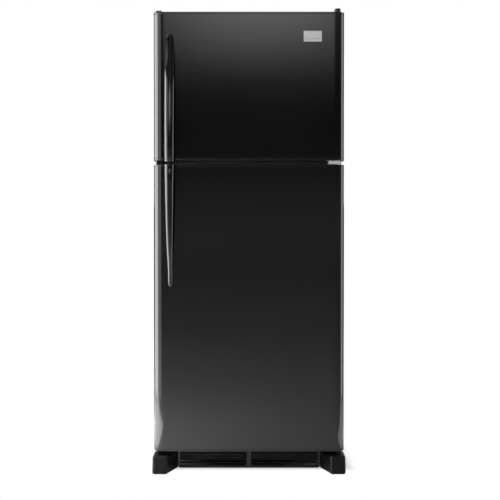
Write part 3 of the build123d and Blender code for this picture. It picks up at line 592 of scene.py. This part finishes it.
def dress_nodes():
    """Gives every CAD node the finish of its material slot."""
    for row in frame["record"]["subparts"]:
        piece = frame["nodes"][row["node"]]
        for place in piece.material_slots:
            place.material = FINISHES[row["material_slot"]]
    # Painted light: the strip between the doors takes a lighter grey than the cabinet's black enamel, to
    # make up for the shade in the gap.
    frame["nodes"]["mullion_front_bar"].material_slots[0].material = FINISHES["mullion_painted_light"]
    for node, width in EDGES.items():
        soften(node, width)


# ======================================================================
# Doors
# ======================================================================
def door_outline(node, inset):
    """Plan of a door as an open path, from its back left edge round the front."""
    low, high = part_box(node)
    left, right = low.x - DOOR_SIDE_PROUD + inset, high.x + DOOR_SIDE_PROUD - inset
    front = low.y - DOOR_FRONT_PROUD + inset
    along, back = DOOR_EDGE_LENGTH - inset, DOOR_EDGE_DEPTH - inset
    corner = []
    for step in range(DOOR_EDGE_STEPS + 1):
        angle = pi / 2 * step / DOOR_EDGE_STEPS
        corner.append((cos(angle) ** (2 / DOOR_EDGE_POWER), sin(angle) ** (2 / DOOR_EDGE_POWER)))
    path = [(left, high.y)]
    path += [(left + along * (1 - x), front + back * (1 - y)) for x, y in corner]
    for step in range(1, DOOR_FACE_COLUMNS):
        path.append((left + along + (right - left - 2 * along) * step / DOOR_FACE_COLUMNS, front))
    path += [(right - along * (1 - x), front + back * (1 - y)) for x, y in reversed(corner)]
    path.append((right, high.y))
    return path


def door_skin(prefix, body):
    """Wrapped steel sheet, its ends rolled in where the caps meet it."""
    node = f"{prefix}_door_skin"
    low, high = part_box(node)

    def section(inset):
        """The sheet's cross-section: its outer side, its right edge, its inner side and its left edge."""
        back_faces = (high.y, high.y - SKIN)
        outer = door_outline(node, inset)
        inner = door_outline(node, SKIN + inset)
        inner[0] = (inner[0][0], high.y - SKIN)
        inner[-1] = (inner[-1][0], high.y - SKIN)
        left_edge = [(low.x + SKIN_RETURN, y) for y in back_faces]
        right_edge = [(high.x - SKIN_RETURN, y) for y in back_faces]
        return [left_edge[0], *outer, *right_edge, *reversed(inner), left_edge[1]]

    shape = bmesh.new()
    pillow(shape, section, low.z, high.z, SKIN_END_ROLL, SKIN_END_ROLL)
    new_piece(f"{prefix}_door_wrap", mesh_of(node, shape), body, "door_paint", (node,))


def door_caps(prefix, body):
    """Moulded caps over both ends of a door, with the plug in the spare hinge hole."""
    node = f"{prefix}_door_caps"
    skin_low, skin_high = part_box(f"{prefix}_door_skin")
    low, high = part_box(node)
    joint, outer_edge = 0.7 * MM, 1.8 * MM
    plug_x = (-350 * MM, -326 * MM)
    plug_y = (-304 * MM, -276 * MM)
    plug_corner, plug_dome, plug_foot, buried = 6 * MM, 3 * MM, 1.5 * MM, 0.1 * MM

    def plan(inset):
        return door_outline(f"{prefix}_door_skin", inset)

    def plug_plan(inset):
        x = (plug_x[0] + inset, plug_x[1] - inset)
        y = (plug_y[0] + inset, plug_y[1] - inset)
        return rounded_rectangle(x, y, plug_corner - inset)

    for name, bottom, top, soft in (
        ("top", skin_high.z, skin_high.z + CAP_HEIGHT, (joint, outer_edge)),
        ("bottom", skin_low.z - CAP_HEIGHT, skin_low.z, (outer_edge, joint)),
    ):
        shape = bmesh.new()
        pillow(shape, plan, bottom, top, *soft)
        mesh = mesh_of(f"{prefix}_cap_{name}", shape)
        new_piece(f"{prefix}_door_cap_{name}", mesh, body, "door_paint", (node,))

    for name, bottom, top, soft in (
        ("top", skin_high.z + CAP_HEIGHT - MM, high.z, (buried, plug_dome)),
        ("bottom", low.z, skin_low.z - CAP_HEIGHT + MM, (plug_foot, buried)),
    ):
        shape = bmesh.new()
        pillow(shape, plug_plan, bottom, top, *soft)
        mesh = mesh_of(f"{prefix}_plug_{name}", shape)
        new_piece(f"{prefix}_hinge_hole_plug_{name}", mesh, body, "gloss_black", (node,))


# ======================================================================
# Handles
# ======================================================================
def handle_piece(node, body, door, foot_below, half_widths):
    """Arched grip: wide at its foot beside the other door, narrowing to a tip that lies on its own."""
    low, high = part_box(node)
    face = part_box(door)[0].y
    centre = (low.x + high.x) / 2
    length = high.z - low.z
    reach = face - low.y

    front, back, half = eased(HANDLE_FRONT), eased(HANDLE_BACK), eased(half_widths)
    round_from, tip_half = half_widths[-1]
    end_round, end_steps = 2.2 * MM, 4
    foot_to, tip_from, middle_steps, tip_steps = 0.02, 0.95, 60, 14
    thinnest, shallowest = 0.2 * MM, 0.4 * MM
    crown_most, crown_share = 13 * MM, 0.72
    crown_side, crown_top, back_corner = 0.86, 0.92, 0.5
    half_around = 22

    def width_at(share):
        """Half the width, which follows half_widths and then rounds off to the tip."""
        if share <= round_from:
            return half(share) * MM
        left = (share - round_from) / (1 - round_from)
        return tip_half * MM * max(0.0, 1 - left**2) ** 0.5

    def ring(share, inset=0.0):
        """Cross-section with a crowned front and a squarer back, both superellipses."""
        front_y = face - reach * front(share) + inset
        back_y = face - reach * max(0.0, back(share))
        wide = max(width_at(share) - inset, thinnest)
        depth = max(back_y - front_y, shallowest)
        crown = min(crown_most, crown_share * depth)
        middle = front_y + crown
        z = low.z + share * length if foot_below else high.z - share * length
        points = []
        for start, rise, side_power, end_power in (
            (0, -crown, crown_side, crown_top),
            (pi, back_y - middle, back_corner, back_corner),
        ):
            for step in range(half_around):
                angle = start + pi * step / half_around
                across, out = cos(angle), abs(sin(angle))
                x = wide * abs(across) ** side_power * (1 if across > 0 else -1)
                points.append((centre + x, middle + rise * out**end_power, z))
        return points

    rings = [ring(0.0, end_round * 0.99)]
    for step in range(1, end_steps + 1):
        angle = pi / 2 * step / end_steps
        rings.append(ring(end_round * (1 - cos(angle)) / length, end_round * (1 - sin(angle))))
    stations = [foot_to + (tip_from - foot_to) * step / middle_steps for step in range(middle_steps + 1)]
    for step in range(1, tip_steps):
        stations.append(tip_from + (1 - tip_from) * sin(pi / 2 * step / tip_steps))
    rings += [ring(share) for share in stations]
    shape = bmesh.new()
    loft(shape, rings)
    new_piece(f"{node}_grip", mesh_of(node, shape, 60), body, "gloss_black", (node,))


def make_handles():
    handle_piece("freezer_handle", "freezer_door", "freezer_door_skin", True, WIDE_GRIP)
    handle_piece("fresh_handle", "fresh_food_door", "fresh_door_skin", False, SLIM_GRIP)


# ======================================================================
# Badge, grille and foot covers
# ======================================================================
def make_badge():
    """Blank brushed plate with a bevelled rim and one raised line, on a thin dark backing; the line's
    darker galvanised finish is painted shade.
    """
    low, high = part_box("badge")
    seat = high.y - DOOR_FRONT_PROUD
    corner, least_corner = 4 * MM, 0.6 * MM
    line_z = low.z + 0.28 * (high.z - low.z)
    line_end, line_half, line_corner = 7 * MM, 1.6 * MM, 1.5 * MM

    def plan(inset):
        x = (low.x + inset, high.x - inset)
        z = (low.z + inset, high.z - inset)
        return rounded_rectangle(x, z, max(corner - inset, least_corner))

    def line_plan(inset):
        x = (low.x + line_end + inset, high.x - line_end - inset)
        z = (line_z - line_half + inset, line_z + line_half - inset)
        return rounded_rectangle(x, z, line_corner - inset)

    def layer(name, outline, profile, smooth_below=35):
        """Mesh of one layer; profile holds (inset, distance from the door) pairs in millimetres."""
        shape = bmesh.new()
        loft(shape, [[(x, seat - out * MM, z) for x, z in outline(inset * MM)] for inset, out in profile])
        return mesh_of(name, shape, smooth_below)

    backing = layer("badge_backing", plan, ((0, 0), (0, 0.9), (0.5, 1.2)))
    new_piece("badge_backing", backing, "freezer_door", "black_plastic", ("badge",))
    rim = ((2.2, 0.9), (2.2, 1.5), (2.6, 1.9), (3.2, 2.0), (4.4, 2.0), (4.8, 1.7), (5.4, 1.7))
    plate = layer("badge_plate", plan, rim, 50)
    new_piece("badge_plate", plate, "freezer_door", "badge_metal", ("badge",))
    # Painted shade: the raised line takes the darker galvanised finish, which stands in for the shade in a
    # groove of the plate's metal.
    line = layer("badge_shaded_line", line_plan, ((0, 1.5), (0, 1.8), (0.3, 1.95)))
    new_piece("badge_shaded_line", line, "freezer_door", "galvanised", ("badge",))


def make_grille():
    """Toe grille: a rounded frame with a post in its middle and sloping louvres."""
    low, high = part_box("toe_grille")
    thickness = high.y - low.y
    corner, window_corner, corner_steps, edge, sharp = 12 * MM, 5 * MM, 8, 1.2 * MM, 30
    side_bar, post, top_bar, bottom_bar = 9 * MM, 18 * MM, 12 * MM, 9 * MM
    side_lap = 3.6 * MM
    left_end, right_end = low.x - side_lap, high.x + side_lap
    outline = [(right_end, high.z), (left_end, high.z)]
    outline += arc((left_end + corner, low.z + corner), corner, 180, 270, corner_steps)
    outline += arc((right_end - corner, low.z + corner), corner, 270, 360, corner_steps)

    windows = []
    for left, right in ((left_end + side_bar, -post / 2), (post / 2, right_end - side_bar)):
        windows.append((left, right, low.z + bottom_bar, high.z - top_bar))

    shape = bmesh.new()
    loops = [outline]
    for left, right, bottom, top in windows:
        loops.append(rounded_rectangle((left, right), (bottom, top), window_corner))
    edges = []
    for loop in loops:
        verts = [shape.verts.new((x, low.y, z)) for x, z in loop]
        for index, vert in enumerate(verts):
            edges.append(shape.edges.new((vert, verts[(index + 1) % len(verts)])))
    bmesh.ops.triangle_fill(shape, edges=edges, use_beauty=True)
    made = bmesh.ops.extrude_face_region(shape, geom=shape.faces[:])
    moved = [item for item in made["geom"] if isinstance(item, bmesh.types.BMVert)]
    bmesh.ops.translate(shape, verts=moved, vec=(0, thickness, 0))
    bmesh.ops.dissolve_limit(shape, angle_limit=radians(1), verts=shape.verts[:], edges=shape.edges[:])
    mesh = mesh_of("grille_frame", shape)
    panel = new_piece("toe_grille_frame", mesh, "cabinet", "black_plastic", ("toe_grille",))
    round_edges(panel, edge, sharp)

    louvres = bmesh.new()
    rows, tilt = 5, radians(26)
    half_depth, half_height, nose, nose_steps = 3.6 * MM, 1.5 * MM, 1.4 * MM, 4
    section = []
    slat = rounded_rectangle((-half_depth, half_depth), (-half_height, half_height), nose, nose_steps)
    for y, z in slat:
        section.append((y * cos(tilt) - z * sin(tilt), y * sin(tilt) + z * cos(tilt)))
    for left, right, bottom, top in windows:
        pitch = (top - bottom) / rows
        for row in range(1, rows):
            level = bottom + pitch * row
            rings = []
            for x in (left - MM, right + MM):
                rings.append([(x, (low.y + high.y) / 2 + y, level + z) for y, z in section])
            loft(louvres, rings)
    mesh = mesh_of("louvres", louvres)
    new_piece("toe_grille_louvres", mesh, "cabinet", "black_plastic", ("toe_grille",))


def make_foot_cover(name, sign):
    """Corner cover over a front leg: rounded front, slanted inner side, hollow from below."""
    node = f"foot_cover_{name}"
    low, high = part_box(node)
    outer = max(abs(low.x), abs(high.x))
    inner = min(abs(low.x), abs(high.x))
    slant, slant_angle = 34 * MM, 69.5
    radius, least_radius, count = 9 * MM, 1.5 * MM, 7
    draft = 0.17
    shoulder_moves, shoulder_bend, heel_moves = 0.62, 0.68, 1.07
    soft_top, soft_bottom, hollow = 6 * MM, 9 * MM, 20 * MM

    def plan(inset, level=0.0):
        """Plan at a height above the floor; an inset draws the slanted side's ends in by their shares."""
        front = low.y + inset + draft * level
        outside = outer - inset
        shoulder = inner + slant + inset * shoulder_moves
        heel = inner + inset * heel_moves
        turn = radius - min(inset, radius - least_radius)
        outer_corner = arc((outside - turn, front + turn), turn, -90, 0, count)
        centre = (shoulder + turn * shoulder_bend, front + turn)
        inner_corner = arc(centre, turn, -90 - slant_angle, -90, count)
        points = [(outside, high.y), *reversed(outer_corner), *reversed(inner_corner), (heel, high.y)]
        return [(sign * x, y) for x, y in points]

    rings = [[(x, y, low.z + hollow) for x, y in plan(soft_bottom)]]
    for inset, rise in reversed(rounding(soft_bottom)):
        rings.append([(x, y, low.z + soft_bottom - rise) for x, y in plan(inset)])
    for inset, rise in rounding(soft_top):
        level = high.z - soft_top + rise
        rings.append([(x, y, level) for x, y in plan(inset, level)])
    shape = bmesh.new()
    loft(shape, rings)
    mesh = mesh_of("foot_cover", shape)
    new_piece(f"{node}_shell", mesh, "cabinet", "foot_plastic", (node,))


# ======================================================================
# Fasteners
# ======================================================================
def frame_axes(direction):
    """A direction as a unit vector, and two unit vectors across it."""
    direction = Vector(direction).normalized()
    across = direction.orthogonal().normalized()
    return direction, across, direction.cross(across)


def turned(shape, base, direction, profile, around=20):
    """Adds a body of revolution; profile holds (distance along, radius) pairs, closed at both ends."""
    along, across, up = frame_axes(direction)
    rings = []
    for distance, radius in profile:
        centre = Vector(base) + along * distance
        ring = []
        for step in range(around):
            angle = 2 * pi * step / around
            ring.append(centre + (across * cos(angle) + up * sin(angle)) * radius)
        rings.append(ring)
    loft(shape, rings)


def cross_mark(shape, seat, axes, arm, blade, distances):
    """Adds the raised cross that stands for a screw's recess, between two distances from the seat."""
    along, across, up = axes
    corners = ((-arm, -blade), (arm, -blade), (arm, blade), (-arm, blade))
    for first, second in ((up, across), (across, up)):
        rings = []
        for distance in distances:
            rings.append([seat + along * distance + first * x + second * y for x, y in corners])
        loft(shape, rings)


def hexagon(across, up, radius):
    """Offsets to the corners of a hexagon and to the middles of its sides, by turns."""
    offsets = []
    for step in range(12):
        reach = radius if step % 2 == 0 else radius * 3**0.5 / 2
        angle = pi / 6 * step
        offsets.append((across * cos(angle) + up * sin(angle)) * reach)
    return offsets


def hex_screw(shape, seat, outward, across_flats):
    """Adds a dished hexagon head on a washer flange, with a cross in it, and a threaded shank."""
    height, shank_radius, shank, pitch = 3 * MM, 2.4 * MM, 17 * MM, 1.6 * MM
    along, across, up = frame_axes(outward)
    seat = Vector(seat)
    radius = across_flats / 3**0.5
    flange = across_flats * 0.62
    turned(shape, seat, along, [(0, flange), (0.5 * MM, flange), (0.9 * MM, flange * 0.86)], 24)

    head = ((0.7 * MM, 1), (height - 0.5 * MM, 1), (height, 0.86), (height - 0.3 * MM, 0.62))
    rings = []
    for distance, share in head:
        rings.append([seat + along * distance + offset for offset in hexagon(across, up, radius * share)])
    loft(shape, rings)
    mark = (height - 0.32 * MM, height - 0.18 * MM)
    cross_mark(shape, seat, (along, across, up), radius * 0.5, radius * 0.11, mark)

    thread = [(0, shank_radius * 0.8)]
    for index in range(int(shank / pitch) - 1):
        start = -(index + 0.5) * pitch
        thread += [(start, shank_radius * 0.78), (start - 0.5 * pitch, shank_radius)]
    thread += [(-shank + MM, shank_radius * 0.5), (-shank, shank_radius * 0.1)]
    turned(shape, seat, along, thread, 12)


def make_hinge_screws():
    """Hexagon washer-head screws of the three hinges."""
    screws = bmesh.new()
    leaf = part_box("cabinet_shell")[1].z + TOP_LEAF
    for x in TOP_SCREWS_X:
        for y in TOP_SCREWS_Y:
            hex_screw(screws, (x * MM, y * MM, leaf), (0, 0, 1), TOP_SCREW_SIZE * MM)
    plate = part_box("cabinet_shell")[0].y - FRONT_PLATE
    for x, z, size in FRONT_SCREWS:
        hex_screw(screws, (x * MM, plate, z * MM), (0, -1, 0), size * MM)
    mesh = mesh_of("hinge_screws", screws, SCREW_SMOOTH)
    new_piece("hinge_screw_set", mesh, "cabinet", "screw_steel", ("hinge_screws",))


def pan_screw(shape, seat, outward, radius):
    """Adds a domed screw head with a cross on it."""
    axes = frame_axes(outward)
    seat = Vector(seat)
    height = radius * 0.55
    dome = [(0, radius), (height * 0.35, radius), (height * 0.75, radius * 0.84), (height, radius * 0.45)]
    turned(shape, seat, outward, dome, 18)
    cross_mark(shape, seat, axes, radius * 0.5, radius * 0.1, (height * 0.9, height * 1.04))


def make_panel_screws():
    """Screws round the rear panel, the machine cover and the evaporator cover."""
    rear_radius, rear_inset, side_gaps = 3.6 * MM, 9 * MM, 6
    screws = bmesh.new()
    low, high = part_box("rear_panel")
    for index in range(side_gaps + 1):
        z = low.z + rear_inset + (high.z - low.z - 2 * rear_inset) * index / side_gaps
        for x in (low.x + rear_inset, high.x - rear_inset):
            pan_screw(screws, (x, high.y, z), (0, 1, 0), rear_radius)
    low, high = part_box("machine_cover")
    for share in (0, 0.25, 0.5, 0.75, 1):
        x = low.x + rear_inset + (high.x - low.x - 2 * rear_inset) * share
        for z in (low.z + rear_inset, high.z - rear_inset):
            pan_screw(screws, (x, high.y, z), (0, 1, 0), rear_radius)
    mesh = mesh_of("rear_screws", screws, SCREW_SMOOTH)
    new_piece("rear_screw_set", mesh, "cabinet", "screw_steel")

    cover_radius, cover_inset = 4 * MM, 22 * MM
    screws = bmesh.new()
    low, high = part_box("evaporator_cover")
    for x in (low.x + cover_inset, high.x - cover_inset):
        for z in (low.z + cover_inset, (low.z + high.z) / 2, high.z - cover_inset):
            pan_screw(screws, (x, low.y, z), (0, -1, 0), cover_radius)
    mesh = mesh_of("cover_screws", screws, SCREW_SMOOTH)
    new_piece("evaporator_cover_screws", mesh, "cabinet", "screw_steel")


# ======================================================================
# Panels and mouldings
# ======================================================================
def raised_bar(shape, across, upward, plane, height, radius):
    """Adds a rounded bar that rises to the back from an upright plane, between its X and Z limits."""
    rings = []
    for inset, rise in rounding(height, 4):
        x = (across[0] + inset, across[1] - inset)
        z = (upward[0] + inset, upward[1] - inset)
        outline = rounded_rectangle(x, z, radius)
        rings.append([(x, plane + rise, z) for x, z in outline])
    loft(shape, rings)


def make_back():
    """Pressed stiffening ribs of the rear panel, in two columns."""
    margin, half_gap = 60 * MM, 25 * MM
    half_width, height, corner, sunk = 7 * MM, 2.2 * MM, 4 * MM, 0.1 * MM
    low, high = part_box("rear_panel")
    ribs = bmesh.new()
    for share in (0.14, 0.38, 0.62, 0.86):
        middle = low.z + (high.z - low.z) * share
        z = (middle - half_width, middle + half_width)
        for x in ((low.x + margin, -half_gap), (half_gap, high.x - margin)):
            raised_bar(ribs, x, z, high.y - sunk, height, corner)
    new_piece("rear_panel_ribs", mesh_of("rear_ribs", ribs, 30), "cabinet", "galvanised")


def make_dial_marks():
    """Raised tick marks round each temperature knob, longer at the ends and the middle."""
    count, sweep, gap = 9, 135, 0.8 * MM
    long_mark, short_mark, half, sunk, proud = 1.6, 0.9, 0.35 * MM, 0.05 * MM, 0.3 * MM
    marks = bmesh.new()
    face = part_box("control_housing")[0].y
    for node in ("temperature_knob_freezer", "temperature_knob_fresh"):
        low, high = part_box(node)
        centre_x, centre_z = (low.x + high.x) / 2, (low.z + high.z) / 2
        inner = (high.x - low.x) / 2 + gap
        for index in range(count):
            angle = radians(-sweep + 2 * sweep * index / (count - 1))
            length = (long_mark if index % 4 == 0 else short_mark) * MM
            along, across = Vector((sin(angle), 0, cos(angle))), Vector((cos(angle), 0, -sin(angle)))
            corners = ((0, -half), (length, -half), (length, half), (0, half))
            start = Vector((centre_x, face, centre_z)) + along * inner
            rings = []
            for out in (sunk, -proud):
                depth = Vector((0, out, 0))
                rings.append([start + along * x + across * y + depth for x, y in corners])
            loft(marks, rings)
    new_piece("dial_marks", mesh_of("dial_marks", marks, 30), "cabinet", "black_plastic")


# ======================================================================
# Studio
# ======================================================================
def softbox(name, place, target, size, radiance, lights="both"):
    """Soft rectangular lamp from one point towards another; it may light only shine or only matt."""
    width, height = size
    lamp = bpy.data.lights.new(name, "AREA")
    lamp.shape = "RECTANGLE"
    lamp.size = width
    lamp.size_y = height
    lamp.energy = LAMP_POWER * width * height * radiance
    holder = bpy.data.objects.new(name, lamp)
    bpy.context.scene.collection.objects.link(holder)
    holder.location = place
    holder.rotation_mode = "QUATERNION"
    aim = Vector(target) - Vector(place)
    holder.rotation_quaternion = aim.to_track_quat("-Z", "Y")
    holder.visible_camera = False
    holder.visible_diffuse = lights != "shine"
    holder.visible_glossy = lights != "matt"


def make_camera():
    camera = bpy.data.objects.new("camera", bpy.data.cameras.new("camera"))
    bpy.context.scene.collection.objects.link(camera)
    bpy.context.scene.camera = camera
    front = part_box("fresh_door_skin")[0].y
    camera.location = (CAMERA_ASIDE, front - CAMERA_DISTANCE, CAMERA_HEIGHT)
    camera.rotation_euler = (radians(90 - CAMERA_TILT), 0, 0)
    camera.data.lens = LENS
    camera.data.sensor_width = SENSOR
    camera.data.clip_end = 5 * FLOOR_RADIUS


def fading(tree, value, low, high, at_low=0.0, at_high=1.0):
    """Smooth change from one amount to another as a value goes from low to high."""
    node = tree.nodes.new("ShaderNodeMapRange")
    node.interpolation_type = "SMOOTHSTEP"
    node.inputs["From Min"].default_value = low
    node.inputs["From Max"].default_value = high
    node.inputs["To Min"].default_value = at_low
    node.inputs["To Max"].default_value = at_high
    tree.links.new(value, node.inputs["Value"])
    return node.outputs["Result"]


def combined(tree, operation, first, second):
    """Result of a calculation with two sockets or numbers."""
    node = tree.nodes.new("ShaderNodeMath")
    node.operation = operation
    for socket, value in zip(node.inputs, (first, second)):
        if isinstance(value, (int, float)):
            socket.default_value = value
        else:
            tree.links.new(value, socket)
    return node.outputs["Value"]


def make_floor():
    """Plain pale floor, painted dark under the refrigerator as painted shadow and lit about it, that fades
    into the white surround.
    """
    shape = bmesh.new()
    bmesh.ops.create_circle(shape, cap_ends=True, segments=96, radius=FLOOR_RADIUS)
    mesh = bpy.data.meshes.new("floor")
    shape.to_mesh(mesh)
    shape.free()
    floor = bpy.data.objects.new("floor", mesh)
    bpy.context.scene.collection.objects.link(floor)
    material = bpy.data.materials.new("studio_floor")
    material.use_nodes = True
    tree = material.node_tree
    shader = tree.nodes["Principled BSDF"]
    shader.inputs["Roughness"].default_value = 0.7
    shader.inputs["Specular IOR Level"].default_value = 0.2
    glow = tree.nodes.new("ShaderNodeEmission")
    # Painted shadow: the floor's colour is near black under the refrigerator and turns pale from 0.2 to
    # 0.34 m out.
    painted_shadow = tree.nodes.new("ShaderNodeMix")
    painted_shadow.data_type = "RGBA"
    painted_shadow.inputs["A"].default_value = (0.03, 0.03, 0.03, 1)
    painted_shadow.inputs["B"].default_value = (0.86, 0.86, 0.86, 1)
    length = tree.nodes.new("ShaderNodeVectorMath")
    length.operation = "LENGTH"
    place = tree.nodes.new("ShaderNodeTexCoord").outputs["Object"]
    tree.links.new(place, length.inputs[0])
    split = tree.nodes.new("ShaderNodeSeparateXYZ")
    tree.links.new(place, split.inputs["Vector"])
    aside = fading(tree, combined(tree, "ABSOLUTE", split.outputs["X"], 0), *WHITE_ASIDE)
    ahead = fading(tree, combined(tree, "MULTIPLY", split.outputs["Y"], -1.0), *WHITE_AHEAD)
    behind = fading(tree, split.outputs["Y"], *WHITE_BEHIND)
    far = combined(tree, "MAXIMUM", aside, combined(tree, "MAXIMUM", ahead, behind))
    pale = fading(tree, length.outputs["Value"], *PAINTED_SHADOW_FADE)
    tree.links.new(pale, painted_shadow.inputs["Factor"])
    tree.links.new(painted_shadow.outputs["Result"], shader.inputs["Base Color"])
    seen = tree.nodes.new("ShaderNodeLightPath").outputs["Is Camera Ray"]
    mix = tree.nodes.new("ShaderNodeMixShader")
    tree.links.new(combined(tree, "MULTIPLY", far, seen), mix.inputs["Fac"])
    tree.links.new(shader.outputs["BSDF"], mix.inputs[1])
    tree.links.new(glow.outputs["Emission"], mix.inputs[2])
    tree.links.new(mix.outputs["Shader"], tree.nodes["Material Output"].inputs["Surface"])
    mesh.materials.append(material)


def make_world():
    """White surround to the camera; to the surfaces, a dim room with a bright band above the front."""
    world = bpy.data.worlds.new("studio")
    bpy.context.scene.world = world
    world.use_nodes = True
    tree = world.node_tree
    tree.nodes.clear()
    output = tree.nodes.new("ShaderNodeOutputWorld")
    split = tree.nodes.new("ShaderNodeSeparateXYZ")
    tree.links.new(tree.nodes.new("ShaderNodeTexCoord").outputs["Generated"], split.inputs["Vector"])
    rise = split.outputs["Z"]
    low_wall = fading(tree, rise, 0.0, ROOM_WALL_TOP, ROOM_HORIZON, ROOM_DARK)
    band = fading(tree, rise, *BAND_RISE, 0.0, BAND_LIGHT)
    above = fading(tree, rise, *BAND_FALL, 1.0, ABOVE_BAND)
    aside = combined(tree, "ABSOLUTE", combined(tree, "SUBTRACT", split.outputs["X"], BAND_CENTRE), 0)
    width = fading(tree, aside, *BAND_WIDTH, 1.0, BESIDE_BAND)
    top_light = combined(tree, "MULTIPLY", combined(tree, "MULTIPLY", band, above), width)
    front = combined(tree, "ADD", low_wall, top_light)
    facing = fading(tree, split.outputs["Y"], *ROOM_FRONT, 1.0, 0.0)
    front_part = combined(tree, "MULTIPLY", front, facing)
    rest = combined(tree, "MULTIPLY", ROOM_BEHIND, combined(tree, "SUBTRACT", 1.0, facing))
    room = tree.nodes.new("ShaderNodeBackground")
    tree.links.new(combined(tree, "ADD", front_part, rest), room.inputs["Strength"])
    room.inputs["Color"].default_value = (1, 1, 1, 1)
    surround = tree.nodes.new("ShaderNodeBackground")
    surround.inputs["Color"].default_value = (1, 1, 1, 1)
    path = tree.nodes.new("ShaderNodeLightPath")
    mix = tree.nodes.new("ShaderNodeMixShader")
    tree.links.new(path.outputs["Is Camera Ray"], mix.inputs["Fac"])
    tree.links.new(room.outputs["Background"], mix.inputs[1])
    tree.links.new(surround.outputs["Background"], mix.inputs[2])
    tree.links.new(mix.outputs["Shader"], output.inputs["Surface"])


def side_light(name, sign, azimuth, width, radiance, with_card=True):
    """Upright lamp beside the doors and a glowing card on the floor; azimuth is from the front."""
    x, y, z = DOOR_SIDE_AIM
    edge = Vector((sign * x, y, z))
    away = Vector((sign * sin(radians(azimuth)), -cos(radians(azimuth)), 0))
    softbox(f"{name}_box", edge + BOX_AWAY * away, edge, (width, BOX_HEIGHT), radiance, "shine")
    if with_card:
        card = edge + CARD_AWAY * away
        card.z = CARD_RAISED
        upward = card + away * MM + Vector((0, 0, 1))
        softbox(f"{name}_card", card, upward, (width, CARD_LENGTH), CARD_SHARE * radiance, "shine")


def make_studio():
    make_camera()
    make_floor()
    make_world()
    bpy.context.scene.view_settings.view_transform = "Standard"
    softbox("overhead_box", (-1.2, -0.8, 3.0), (-0.8, -0.8, 0), (2.0, 1.6), 3.0)
    softbox("floor_light", (-1.05, -0.75, 1.0), (-1.05, -0.75, 0), (0.7, 0.7), 17.0, "matt")
    softbox("far_floor_light", (0, -7.3, 3.0), (0, -7.3, 0), (2.0, 2.0), 1.1, "matt")
    side_light("left", sign=-1, azimuth=72, width=1.5, radiance=8.5)
    side_light("left_fill", sign=-1, azimuth=32, width=0.7, radiance=1.5, with_card=False)
    side_light("right", sign=1, azimuth=76, width=0.95, radiance=2.7)
    softbox("key", (-1.9, -3.6, 2.4), (0, -0.2, 0.9), (1.8, 1.8), 3.0, "matt")
    softbox("back_left_box", (-2.4, 3.4, 2.2), (0, 0.3, 0.9), (1.6, 2.2), 3.0)
    softbox("back_right_box", (2.6, 3.2, 2.2), (0, 0.3, 0.9), (1.6, 2.2), 3.0)


# ======================================================================
# The refrigerator
# ======================================================================
make_studio()
dress_nodes()
for door_prefix, door_body in (("freezer", "freezer_door"), ("fresh", "fresh_food_door")):
    door_skin(door_prefix, door_body)
    door_caps(door_prefix, door_body)
make_handles()
make_badge()
make_grille()
make_foot_cover("left", -1)
make_foot_cover("right", 1)
make_hinge_screws()
make_panel_screws()
make_back()
make_dial_marks()
